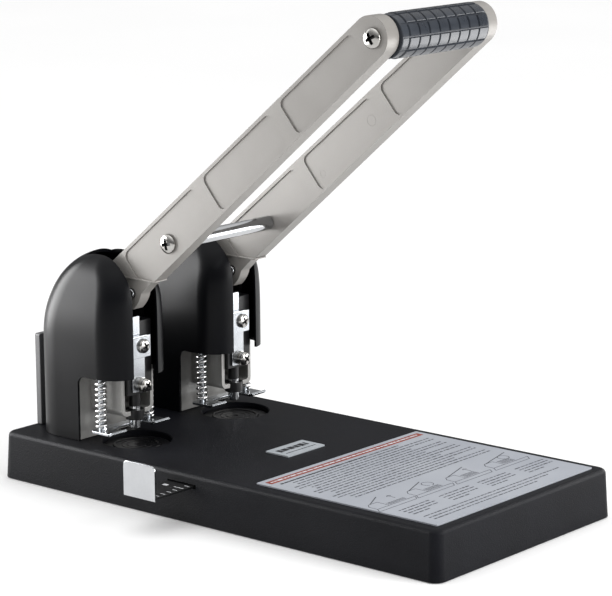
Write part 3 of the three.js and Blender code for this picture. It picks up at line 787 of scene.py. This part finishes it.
COVER_WALL = 1.4
COVER_OPENING = 9.4
COVER_FRONT = -73.0
COVER_SLOT_REAR = -107.0
COVER_CUT_X = -102.5
COVER_CUT_Z = 62.5
COVER_DOME_X = -95.0
COVER_DOME_Z = 80.0
COVER_DOME_RISE = 50.0
COVER_NOSE_Z = 104.0
COVER_REAR_ROUND = 22.0
COVER_FRONT_ROUND = 16.0


def cover_ring(z, inset):
    """The outside of the cover at one height: straight walls up to the dome, then a long
    curve over the back, a short one over the nose and a swelling one over the sides."""
    half = head_high("cover").y
    rear = head_low("cover").x
    top = COVER_DOME_Z + COVER_DOME_RISE
    rise = max(0.0, (z - COVER_DOME_Z) / COVER_DOME_RISE)
    nose_rise = max(0.0, (z - COVER_NOSE_Z) / (top - COVER_NOSE_Z))
    back = COVER_DOME_X - (COVER_DOME_X - rear) * math.sqrt(1 - rise * rise)
    nose = COVER_DOME_X + (COVER_FRONT - COVER_DOME_X) * math.sqrt(1 - nose_rise * nose_rise)
    side = half * (1 - rise ** 3) ** 0.43 - inset
    rear_radius = min(COVER_REAR_ROUND - inset, side - 0.01)
    front_radius = min(COVER_FRONT_ROUND - inset, side - 0.01)
    return rounded_ring(back + inset, nose - inset, side, rear_radius, front_radius)


def cover_skin(bottom, inset):
    rings = []
    for i in range(5):
        z = bottom + (COVER_DOME_Z - bottom) * i / 5
        rings.append([(x, y, z) for x, y in cover_ring(z, inset)])
    for i in range(25):
        rise = math.sin(math.radians(84.5 * i / 24))
        z = COVER_DOME_Z + COVER_DOME_RISE * rise
        rings.append([(x, y, z - inset * rise) for x, y in cover_ring(z, inset)])
    return skin("cover", rings)


def cover_mesh():
    outside = cover_skin(DECK, 0)
    inside = cover_skin(0, COVER_WALL)
    corner = [(COVER_CUT_X, 0), (0, 0), (0, COVER_CUT_Z)]
    round_radius = 4.5
    corner += arc(COVER_CUT_X + round_radius, COVER_CUT_Z - round_radius, round_radius, 90, 180, 8)
    side_cut = prism("side_cut", corner, "y", -FAR, FAR)
    slot = block("slot", COVER_SLOT_REAR, 0, -COVER_OPENING, COVER_OPENING, 100, FAR)
    mouth = block("mouth", COVER_DOME_X + 5, 0, -COVER_OPENING, COVER_OPENING, 0, FAR)
    return cut(outside, inside, side_cut, slot, mouth)


# --- bracket and yoke

BRACKET_HALF = 12.25
BRACKET_SHEET = 2.5
BRACKET_BEND = 4.0
BRACKET_TRIM = 4.5
BRACKET_FLOOR = 40.5
BRACKET_SIDE_TOP = 62.9
BRACKET_FRONT = -80.0
# How far the flange reaches behind the back stop.
FLANGE_REACH = 22
FLANGE_HALF = 18
BUSH_BORE = 3.5
BUSH_RADIUS = 5.0
BUSH_REACH = 2.8


def bracket_mesh():
    lo, hi = head_span("bracket")
    half = BRACKET_HALF
    back = lo.x + FLANGE_REACH
    inner = BRACKET_BEND - BRACKET_SHEET
    channel = [(-half, hi.z)]
    channel += arc(-half + BRACKET_BEND, BRACKET_FLOOR + BRACKET_BEND, BRACKET_BEND, 180, 270, 8)
    channel += arc(half - BRACKET_BEND, BRACKET_FLOOR + BRACKET_BEND, BRACKET_BEND, -90, 0, 8)
    channel += [(half, hi.z), (half - BRACKET_SHEET, hi.z)]
    channel += arc(half - BRACKET_BEND, BRACKET_FLOOR + BRACKET_BEND, inner, 0, -90, 8)
    channel += arc(-half + BRACKET_BEND, BRACKET_FLOOR + BRACKET_BEND, inner, -90, -180, 8)
    channel += [(-half + BRACKET_SHEET, hi.z)]
    walls = prism("walls", channel, "x", back - BRACKET_SHEET / 2, BRACKET_FRONT)
    trim = block("trim", back, BRACKET_FRONT - BRACKET_TRIM, -FAR, FAR, BRACKET_SIDE_TOP, FAR)
    hole = BUSH_RADIUS + 0.3
    bottom = BRACKET_FLOOR - 5
    top = BRACKET_FLOOR + 5
    bush_hole = turned("hole", rod_profile(hole, bottom, top), at=(PUNCH.x, 0, 0))
    bush_mouth = block("mouth", PUNCH.x, 0, -hole, hole, bottom, top)
    carrier = eased(cut(walls, trim, bush_hole, bush_mouth), 0.3, 2, 50)
    stop_outline = rounded(rectangle(lo.y, hi.y, DECK, hi.z), [0, 0, 1.5, 1.5])
    stop = eased(prism("stop", stop_outline, "x", back - BRACKET_SHEET, back), 0.3, 2)
    flange = block("flange", lo.x, back - 0.5, -FLANGE_HALF, FLANGE_HALF, DECK, DECK + BRACKET_SHEET)
    return gathered("bracket", [carrier, stop, eased(flange, 0.3, 2)])


def bush_mesh():
    lo = BRACKET_FLOOR - BUSH_REACH
    hi = BRACKET_FLOOR + BUSH_REACH
    profile = [(BUSH_BORE, lo), (BUSH_RADIUS, lo), (BUSH_RADIUS, hi), (BUSH_BORE, hi), (BUSH_BORE, lo)]
    return turned("bush", softened(profile, 0.25), at=(PUNCH.x, 0, 0))


# --- slider


def slide_block_mesh():
    lo, hi = head_span("slide_block")
    step_x = -85.0
    step_z = 86.0
    block_top = 92.5
    side = [
        (lo.x, lo.z), (hi.x, lo.z), (hi.x, block_top), (step_x, block_top), (step_x, step_z),
        (lo.x, step_z),
    ]
    body = eased(prism("block", side, "y", lo.y, hi.y), 0.5, 3)
    rear = -91.5
    neck = -85.5
    tip = -79.2
    jaw = 4.4
    slot = 3.0
    tongue = [
        (rear, step_z - 2), (neck, step_z - 2), (neck, PIN.z - jaw), (tip, PIN.z - jaw),
        (tip, PIN.z - slot), (neck, PIN.z - slot), (neck, PIN.z + slot), (tip, PIN.z + slot),
        (tip, hi.z), (rear, hi.z),
    ]
    claw = eased(prism("tongue", tongue, "y", -1.8, 1.8), 0.25, 2)
    return gathered("slide_block", [body, claw])


PUNCH_BORE = 2.6
# Where the punch turns from polished steel to black painted shade.
SHANK_BOTTOM = 45.0


def punch_mesh():
    """The polished tip, up to where the shank starts; the shank above it is painted black as shade."""
    lo = head_low("punch")
    radius = head_high("punch").x - PUNCH.x
    top = SHANK_BOTTOM - 0.05
    profile = [
        (PUNCH_BORE, lo.z + 1.2), (radius - 0.12, lo.z), (radius, lo.z + 0.25), (radius, top),
        (PUNCH_BORE, top),
    ]
    return turned("punch", profile, at=(PUNCH.x, 0, 0), segments=56)


# The shank is drawn in black steel: painted shade for the punch inside the dark throat of the head.
def painted_shade_shank_mesh():
    hi = head_high("punch")
    radius = hi.x - PUNCH.x
    profile = [(PUNCH_BORE, SHANK_BOTTOM), (radius, SHANK_BOTTOM), (radius, hi.z), (PUNCH_BORE, hi.z)]
    return turned("shank", profile, at=(PUNCH.x, 0, 0), segments=56)


def clamp_strip_mesh():
    lo, hi = head_span("clamp_strip")
    step = 84.6
    left = -6.7
    right = -0.9
    outline = [
        (left, lo.z), (hi.y, lo.z), (hi.y, step), (right, step), (right, hi.z), (lo.y, hi.z),
        (lo.y, step - 1), (left, step - 1),
    ]
    return eased(prism("strip", rounded(outline, 0.5, 3), "x", lo.x, hi.x), 0.2, 2)


def clamp_plate_mesh():
    lo, hi = head_span("clamp_plate")
    top = 84.4
    front = hi.x - 1.4
    lip_end = 1.6
    outline = rounded(rectangle(lo.y + 0.6, hi.y, lo.z, top), 0.5, 4)
    plate = eased(prism("plate", outline, "x", lo.x, front), 0.25, 2)
    lip = eased(block("lip", lo.x, hi.x, lo.y, lip_end, top - 0.2, hi.z), 0.25, 2)
    return gathered("clamp_plate", [plate, lip])


def rod_holes(radius, lo, hi):
    """Cutters for the holes that a head's two guide rods pass through."""
    profile = rod_profile(radius, lo, hi)
    return [turned("hole", profile, at=(ROD_X, side * ROD_Y, 0)) for side in (-1, 1)]


def spring_bar_mesh():
    lo, hi = head_span("spring_bar")
    outline = rounded(rectangle(lo.x, hi.x, lo.y, hi.y), 2.5)
    bar = prism("bar", outline, "z", lo.z, hi.z)
    return eased(cut(bar, *rod_holes(1.9, 60, 90)), 0.3, 2)


# --- pressure foot

FOOT_NOTCH = 11.0
FOOT_NOTCH_BACK = -89.0
FOOT_SHEET = 1.3


def pressure_plate_mesh():
    lo, hi = head_span("pressure_plate")
    front = hi.x - 1.9
    outline = [
        (lo.x, lo.y), (front, lo.y), (front, -FOOT_NOTCH), (FOOT_NOTCH_BACK, -FOOT_NOTCH),
        (FOOT_NOTCH_BACK, FOOT_NOTCH), (front, FOOT_NOTCH), (front, hi.y), (lo.x, hi.y),
    ]
    radii = [2.5, 0, 0, 2.0, 2.0, 0, 0, 2.5]
    top = lo.z + FOOT_SHEET
    sheet = prism("sheet", rounded(outline, radii), "z", lo.z, top)
    lip_side = [
        (front - 1.5, lo.z), (front - 0.3, lo.z), (front + 0.6, lo.z + 0.35), (hi.x, hi.z - 0.9),
        (hi.x - 0.8, hi.z), (front - 0.4, top + 0.1), (front - 1.5, top),
    ]
    meshes = [eased(cut(sheet, *rod_holes(1.8, 20, 40)), 0.2, 2)]
    for y0, y1 in ((lo.y, -FOOT_NOTCH), (FOOT_NOTCH, hi.y)):
        meshes.append(eased(prism("lip", lip_side, "y", y0, y1), 0.2, 2))
    return gathered("pressure_plate", meshes)


def guide_rod_mesh(y):
    lo, hi = head_span("rod_outer")
    head = (hi.x - lo.x) / 2
    radius = 1.5
    seat = hi.z - 1.7
    profile = [(0, lo.z), (radius, lo.z), (radius, seat), (head, seat), (head, hi.z), (0, hi.z)]
    return turned("rod", softened(profile, 0.4), at=(ROD_X, y, 0), segments=32)


SPRING_MEAN = 2.6
SPRING_WIRE = 0.85
SPRING_TURNS = 13
SPRING_STEPS = 22
SPRING_SIDES = 10


def spring_mesh(y):
    """A compression spring with a closed turn at each end."""
    z0 = head_low("spring_outer").z + SPRING_WIRE
    z1 = head_high("spring_outer").z - SPRING_WIRE
    flat = 1.0
    pitch_z = (z1 - z0 - 2 * flat * 2 * SPRING_WIRE) / (SPRING_TURNS - 2 * flat)
    total = SPRING_TURNS * SPRING_STEPS
    rings = []
    z = z0
    for i in range(total + 1):
        turns = i / SPRING_STEPS
        angle = 2 * math.pi * turns
        outward = Vector((math.cos(angle), math.sin(angle), 0))
        centre = Vector((ROD_X, y, z)) + outward * SPRING_MEAN
        ring = []
        for k in range(SPRING_SIDES):
            around = 2 * math.pi * k / SPRING_SIDES
            across = outward * SPRING_WIRE * math.cos(around)
            upward = Vector((0, 0, SPRING_WIRE * math.sin(around)))
            ring.append(tuple(centre + across + upward))
        rings.append(ring)
        at_end = turns < flat or turns >= SPRING_TURNS - flat
        z += (2 * SPRING_WIRE if at_end else pitch_z) / SPRING_STEPS
    return skin("spring", rings, smooth=60)


# --- cutting disc

DISC_EDGE = 0.3
DISC_GROOVES = (8.6, 5.6)
GROOVE_DEPTH = 0.3


def disc_mesh():
    lo, hi = head_span("cutting_disc")
    radius = hi.x - DISC.x
    face = lo.z + 1.1
    edge = radius - DISC_EDGE
    profile = [(0, lo.z), (edge, lo.z), (radius, lo.z + DISC_EDGE)]
    profile += [(radius, face - DISC_EDGE), (edge, face)]
    profile += [(13.3, face), (12.9, hi.z), (11.7, hi.z), (11.3, face)]
    bottom = face - GROOVE_DEPTH
    for ring in DISC_GROOVES:
        profile += [(ring + 0.4, face), (ring + 0.2, bottom), (ring - 0.2, bottom), (ring - 0.4, face)]
    profile += [(1.6, face), (1.2, face - 0.5), (0, face - 0.5)]
    return turned("disc", profile, at=(DISC.x, 0, 0), segments=72)


# --- lever arm

ARM_ANGLE = math.radians(40.3)
ARM_HALF = 4.5
BEAK_HALF = 3.6
ARM_UPPER = 12.3
ARM_LOWER = -9.6
ARM_TAPER = 0.0161
ARM_LEDGE = 116.5
LEDGE_HALF = 0.35
LEDGE_REAR = -104.0
ARM_HUB = 9.9
ARM_END_RADIUS = 11.0
PANEL_DEPTH = 0.8
PANEL_ROUND = 3.5


def arm_point(along, across):
    """"along" runs from the lower end to the grip, whose axis is its zero, and "across" is
    square to it, positive towards the upper edge."""
    cos = math.cos(ARM_ANGLE)
    sin = math.sin(ARM_ANGLE)
    return (GRIP.x + along * cos - across * sin, GRIP.z + along * sin + across * cos)


def upper_edge(along):
    return ARM_UPPER - ARM_TAPER * along


def ledge_meets(across, slope):
    rise = ARM_LEDGE - GRIP.z - across * math.cos(ARM_ANGLE)
    return rise / (math.sin(ARM_ANGLE) + slope * math.cos(ARM_ANGLE))


def beam_outline():
    centre = arm_point(-1.5, (ARM_UPPER + ARM_LOWER) / 2)
    angle = math.degrees(ARM_ANGLE)
    top = ledge_meets(ARM_UPPER, -ARM_TAPER)
    points = [arm_point(ledge_meets(ARM_LOWER, 0), ARM_LOWER), arm_point(-2.5, ARM_LOWER)]
    points += arc(*centre, ARM_END_RADIUS, angle - 86, angle + 90, 28)
    points.append(arm_point(top, upper_edge(top)))
    return points


def beak_outline():
    points = bezier((-62.6, ARM_LEDGE + 1), (-67, 113.6), (-72.4, 108.4))
    points += bezier((-72.4, 108.4), (-73.6, 103.4), (-78.4, 99.2))[1:]
    points.append((-90, 99))
    points += arc(PIVOT.x, PIVOT.z, ARM_HUB, -51, -234, 24)
    points.append((-102, ARM_LEDGE + 1))
    return points


def pocket_mesh():
    core = 6.2
    points = arc(PIVOT.x, PIVOT.z, core, -100, 52, 10)
    points += [(-87.6, 116.4), (-78, 113.2)]
    points += arc(PIN.x, PIN.z, 5.4, 69, -40, 8)
    points += [(-81.2, 101.4), (-74.4, 88), (-99, 88)]
    return prism("pocket", points, "y", -2.3, 2.3)


def panel_outline(start, end):
    bottom = ARM_LOWER + 1.3
    inset = 1.8
    angle = math.degrees(ARM_ANGLE)
    corners = (
        (start + PANEL_ROUND, bottom + PANEL_ROUND, 180),
        (end - PANEL_ROUND, bottom + PANEL_ROUND, 270),
        (end - PANEL_ROUND, upper_edge(end) - inset - PANEL_ROUND, 0),
        (start + PANEL_ROUND, upper_edge(start) - inset - PANEL_ROUND, 90),
    )
    points = []
    for along, across, turn in corners:
        points += arc(*arm_point(along, across), PANEL_ROUND, turn + angle, turn + angle + 90, 6)
    return points


# Where each recessed panel starts and ends along the arm.
PANELS = ((-213, -147), (-138.6, -79), (-70, -9.6))
# Ring marks on the inner face, as (along, across, radius).
EJECTOR_MARKS = ((-132, -1.5, 2.0), (-86, 1.0, 3.0))
MARK_DEPTH = 0.08
MARK_LINE = 0.2
PIVOT_BORE = 4.3
PIN_BORE = 2.9


def arm_mesh(inner):
    """An arm whose inner face is towards +Y or -Y, as "inner" is 1 or -1."""
    beam = prism("beam", beam_outline(), "y", -ARM_HALF, ARM_HALF)
    tools = []
    for start, end in PANELS:
        for side in (-1, 1):
            lo, hi = sorted((side * (ARM_HALF - PANEL_DEPTH), side * (ARM_HALF + 1)))
            tools.append(prism("panel", panel_outline(start, end), "y", lo, hi))
    floor = ARM_HALF - PANEL_DEPTH
    lo, hi = sorted((inner * (floor - MARK_DEPTH), inner * (floor + 1)))
    for along, across, radius in EJECTOR_MARKS:
        x, z = arm_point(along, across)
        within = radius - MARK_LINE
        profile = [(within, lo), (radius, lo), (radius, hi), (within, hi)]
        tools.append(turned("mark", profile, "y", (x, 0, z), 32))
    beam = eased(cut(beam, *tools), 0.4, 3, 30)
    bores = []
    for axle, radius in ((PIVOT, PIVOT_BORE), (PIN, PIN_BORE)):
        bores.append(turned("bore", rod_profile(radius, -10, 10), "y", (axle.x, 0, axle.z)))
    beak = prism("beak", beak_outline(), "y", -BEAK_HALF, BEAK_HALF)
    beak = eased(cut(beak, pocket_mesh(), *bores), 0.3, 2, 40)
    lip_front = arm_point(ledge_meets(ARM_LOWER, 0), ARM_LOWER)[0] + 0.9
    lip_half = ARM_HALF + LEDGE_HALF
    lip = rounded(rectangle(LEDGE_REAR, lip_front, -lip_half, lip_half), 0.3, 2)
    ledge = eased(prism("ledge", lip, "z", ARM_LEDGE - LEDGE_HALF, ARM_LEDGE + LEDGE_HALF), 0.15, 2)
    return gathered("arm", [beam, beak, ledge])


def drive_pin_mesh():
    half = head_high("drive_pin").y
    radius = head_high("drive_pin").x - PIN.x
    profile = softened(rod_profile(radius, -half, half), 0.8)
    return turned("pin", profile, "y", (PIN.x, 0, PIN.z), 36)


# --- grip and cross rod

GRIP_BLOCKS = 10
GRIP_PITCH = 8.0
GRIP_GROOVE = 0.9
GRIP_DEPTH = 0.75
GRIP_BAND = 5.0
GRIP_EDGE = 0.25
GRIP_BORE = 6.3


def groove_stations(pitch, groove, edge, inner):
    """Where a block's cross-section changes over one pitch, as (place, share of height)."""
    half = groove / 2
    stations = [(0, 0), (half - edge / 2, 0), (half, 0.6), (half + edge, 1)]
    for i in range(1, inner + 1):
        stations.append((half + edge + (pitch - groove - 2 * edge) * i / (inner + 1), 1))
    stations += [(pitch - half - edge, 1), (pitch - half, 0.6), (pitch - half + edge / 2, 0)]
    return stations


def grip_mesh():
    lo, hi = span("grip_sleeve")
    outer = (hi.z - lo.z) / 2
    start = lo.y + GRIP_BAND
    rows = [(lo.y, 0.0), (lo.y + 0.4, 0.35), (start - 0.2, 0.35)]
    y = start
    while y + GRIP_PITCH <= hi.y:
        stations = groove_stations(GRIP_PITCH, GRIP_GROOVE, GRIP_EDGE, 1)
        rows += [(y + place, share) for place, share in stations]
        y += GRIP_PITCH
    rows += [(y, 0.0), (hi.y - 0.3, 0.35), (hi.y, 0.0)]
    pitch = 360 / GRIP_BLOCKS
    groove = math.degrees(GRIP_GROOVE / outer)
    around = []
    for i in range(GRIP_BLOCKS):
        for place, share in groove_stations(pitch, groove, math.degrees(GRIP_EDGE / outer), 4):
            around.append((i * pitch + place, share))
    rings = []
    for y, along_share in rows:
        ring = []
        for angle, round_share in around:
            share = min(along_share, round_share)
            radius = outer - GRIP_DEPTH * (1 - share)
            turn = math.radians(angle)
            ring.append((GRIP.x + radius * math.cos(turn), y, GRIP.z + radius * math.sin(turn)))
        rings.append(ring)
    for y in (hi.y, lo.y):
        ring = []
        for angle, _ in around:
            turn = math.radians(angle)
            ring.append((GRIP.x + GRIP_BORE * math.cos(turn), y, GRIP.z + GRIP_BORE * math.sin(turn)))
        rings.append(ring)
    return skin("grip", rings, closed=True, smooth=30)


def build_handle_bars():
    add_piece("grip_cover", grip_mesh(), GRIP_PLASTIC, "grip_plastic", "handle", "grip_sleeve")
    keep_node("grip_core", BLACK_STEEL)
    end = high("cross_rod").y
    radius = high("cross_rod").x - CROSS_ROD.x
    profile = softened(rod_profile(radius, -end, end), 0.5)
    rod = turned("rod", profile, "y", (CROSS_ROD.x, 0, CROSS_ROD.z), 56)
    add_piece("spreader_rod", rod, CHROME, "chrome", "handle", "cross_rod")
    face = HOLE_SPACING / 2 + ARM_HALF + 0.05
    screws = (("grip_screw", GRIP, face, 28), ("cross_rod_screw", CROSS_ROD, face - PANEL_DEPTH, 12))
    for prefix, side in HEADS:
        for name, axis, seat, turn in screws:
            screw = screw_mesh(name, radius=5.25, height=2.85, shank=2.0, length=6, turn=turn)
            pointed(screw, (0, side, 0), (axis.x, side * seat, axis.z))
            add_piece(f"{prefix}_{name}_head", screw, ZINC, "nickel", "handle", f"{prefix}_{name}")


# --- the two heads

UPPER_SEAT = -75.1
LOWER_SEAT = -76.7
LOWER_WASHERS = ((3.9, 1.0), (3.3, 1.2))


def clamp_screws():
    """The two screws of a clamp, at their heights."""
    upper = screw_mesh("upper", radius=4, height=2.4, shank=1.9, length=6, turn=25)
    pointed(upper, (1, 0, 0), (UPPER_SEAT, 0, middle("left_upper_screw").z))
    lower = screw_mesh("lower", 3.9, 2.9, 1.9, 1.6, LOWER_WASHERS, turn=50)
    pointed(lower, (1, 0, 0), (LOWER_SEAT, 0, middle("left_lower_screw").z))
    return upper, lower


def build_heads():
    upper_screw, lower_screw = clamp_screws()
    axle_half = head_high("pivot_axle").y
    axle_radius = head_high("pivot_axle").x - PIVOT.x
    profile = softened(rod_profile(axle_radius, -axle_half, axle_half), 0.5)
    axle = turned("axle", profile, "y", (PIVOT.x, 0, PIVOT.z), 40)
    flange_screw = screw_mesh("flange", radius=3.2, height=2.2, shank=1.8, length=8)
    pointed(flange_screw, (0, 0, 1), (0, 0, DECK + BRACKET_SHEET + 0.05))
    screw_at = middle("left_bracket_screw_outer")
    screw_y = abs(screw_at.y - LEFT)

    # (piece, mesh, material, slot, body, node)
    templates = (
        ("dome_cover", cover_mesh(), COVER_PAINT, "cover_paint", "root", "cover"),
        ("carrier_bracket", bracket_mesh(), SHEET_GREY, "grey_paint", "root", "bracket"),
        ("punch_bush", bush_mesh(), BLACK_STEEL, "black_steel", "root", "guide_bush"),
        ("hinge_axle", axle, ZINC, "nickel", "root", "pivot_axle"),
        ("punch_block", slide_block_mesh(), BLACK_STEEL, "black_steel", "slider", "slide_block"),
        ("hollow_punch", punch_mesh(), CHROME, "chrome", "slider", "punch"),
        ("punch_shank_painted_shade", painted_shade_shank_mesh(), BLACK_STEEL, "black_steel", "slider", None),
        ("zinc_strip", clamp_strip_mesh(), ZINC, "nickel", "slider", "clamp_strip"),
        ("zinc_plate", clamp_plate_mesh(), ZINC, "nickel", "slider", "clamp_plate"),
        ("upper_clamp_screw", upper_screw, ZINC, "nickel", "slider", "upper_screw"),
        ("lower_clamp_screw", lower_screw, ZINC, "nickel", "slider", "lower_screw"),
        ("spring_seat_bar", spring_bar_mesh(), ZINC, "nickel", "slider", "spring_bar"),
        ("paper_foot", pressure_plate_mesh(), ZINC, "nickel", "foot", "pressure_plate"),
        ("nylon_disc", disc_mesh(), DISC_PLASTIC, "disc_plastic", "disc", "cutting_disc"),
        ("cross_pin", drive_pin_mesh(), CHROME, "chrome", "handle", "drive_pin"),
    )
    for prefix, side in HEADS:
        y = side * HOLE_SPACING / 2
        for name, mesh, material, slot, body, node in templates:
            rides_on = body if body in ("root", "handle") else f"{prefix}_{body}"
            nodes = [f"{prefix}_{node}"] if node else []
            add_piece(f"{prefix}_{name}", moved(mesh, y=y), material, slot, rides_on, *nodes)
        for place, sign in (("outer", side), ("inner", -side)):
            rod = moved(guide_rod_mesh(sign * ROD_Y), y=y)
            node = f"{prefix}_rod_{place}"
            add_piece(f"{prefix}_foot_rod_{place}", rod, ZINC, "nickel", f"{prefix}_foot", node)
            screw = moved(flange_screw, x=screw_at.x, y=y + sign * screw_y)
            node = f"{prefix}_bracket_screw_{place}"
            add_piece(f"{prefix}_flange_screw_{place}", screw, ZINC, "nickel", "root", node)
            build_spring(prefix, place, y, sign)
        arm = moved(arm_mesh(-side), y=y)
        add_piece(f"{prefix}_lever_arm", arm, GREY_PAINT, "grey_paint", "handle", f"{prefix}_arm")
        # The yoke is painted black steel: painted shade for its walls deep inside the cover.
        keep_node(f"{prefix}_yoke", BLACK_STEEL)


def build_spring(prefix, place, y, sign):
    """A spring drawn at rest in place of its CAD node; it is not attached to the slider or the foot.
    """
    spring = bpy.data.objects.new(f"{prefix}_coil_{place}", moved(spring_mesh(sign * ROD_Y), y=y))
    bpy.context.scene.collection.objects.link(spring)
    spring.data.materials.append(SPRING_STEEL)
    node = f"{prefix}_spring_{place}"
    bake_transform(spring)
    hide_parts(node)


# --- studio

AIM = Vector((-0.02, 0, 0.11))
# (name, place, width and height, watts, gloss only)
LIGHTS = (
    ("left_box", (-1.0, -0.5, 0.55), (0.5, 0.9), 1.5, False),
    ("right_box", (1.35, 0.3, 0.5), (0.6, 0.9), 14, False),
    ("left_gloss", (-0.43, -0.22, 0.17), (0.34, 0.3), 5, True),
    ("back_gloss", (0.22, 0.34, 0.11), (0.45, 0.2), 1.4, True),
)


def softbox(name, place, size, power, gloss_only):
    """A rectangular light that faces the middle of the object. One that is for gloss only
    shows in reflections and adds no diffuse light."""
    data = bpy.data.lights.new(name, "AREA")
    data.shape = "RECTANGLE"
    data.size, data.size_y = size
    data.energy = power
    light = bpy.data.objects.new(name, data)
    light.location = place
    light.rotation_euler = (AIM - light.location).to_track_quat("-Z", "Y").to_euler()
    light.visible_diffuse = not gloss_only
    light.visible_camera = False
    bpy.context.scene.collection.objects.link(light)


# The world's brightness at each share of the way from the horizon to straight up.
SKY = ((0.0, 0.08), (0.35, 0.34), (1.0, 1.9))


def make_world():
    world = bpy.data.worlds.new("studio")
    bpy.context.scene.world = world
    world.use_nodes = True
    nodes = world.node_tree.nodes
    links = world.node_tree.links
    background = nodes["Background"]
    coordinates = nodes.new("ShaderNodeTexCoord")
    split = nodes.new("ShaderNodeSeparateXYZ")
    height = nodes.new("ShaderNodeFloatCurve")
    links.new(coordinates.outputs["Generated"], split.inputs["Vector"])
    links.new(split.outputs["Z"], height.inputs["Value"])
    links.new(height.outputs["Value"], background.inputs["Strength"])
    height.mapping.clip_max_y = 2
    height.mapping.use_clip = True
    curve = height.mapping.curves[0]
    curve.points[0].location = SKY[0]
    curve.points[1].location = SKY[-1]
    for place in SKY[1:-1]:
        curve.points.new(*place)
    height.mapping.update()
    background.inputs["Color"].default_value = (1, 1, 1, 1)


def make_studio():
    reach = 20 / MM
    corners = rectangle(-reach, reach, -reach, reach)
    floor = skin("floor", [[(x, y, z) for x, y in corners] for z in (-5.0, 0.0)])
    stage = bpy.data.objects.new("floor", floor)
    bpy.context.scene.collection.objects.link(stage)
    paper = surface(
        "pale_floor", (0.88, 0.88, 0.88), (0.90, 0.90, 0.90), 0.9, specular=0.1,
        broad=3, grain=50, bump=0.0,
    )
    shader = paper.node_tree.nodes["Principled BSDF"]
    shader.inputs["Emission Color"].default_value = (1, 1, 1, 1)
    shader.inputs["Emission Strength"].default_value = 0.13
    floor.materials.append(paper)
    make_world()
    for light in LIGHTS:
        softbox(*light)
    bpy.context.scene.view_settings.view_transform = "Standard"


# --- everything

build_base()
build_label()
build_name_plate()
build_guide()
build_heads()
build_handle_bars()
make_studio()
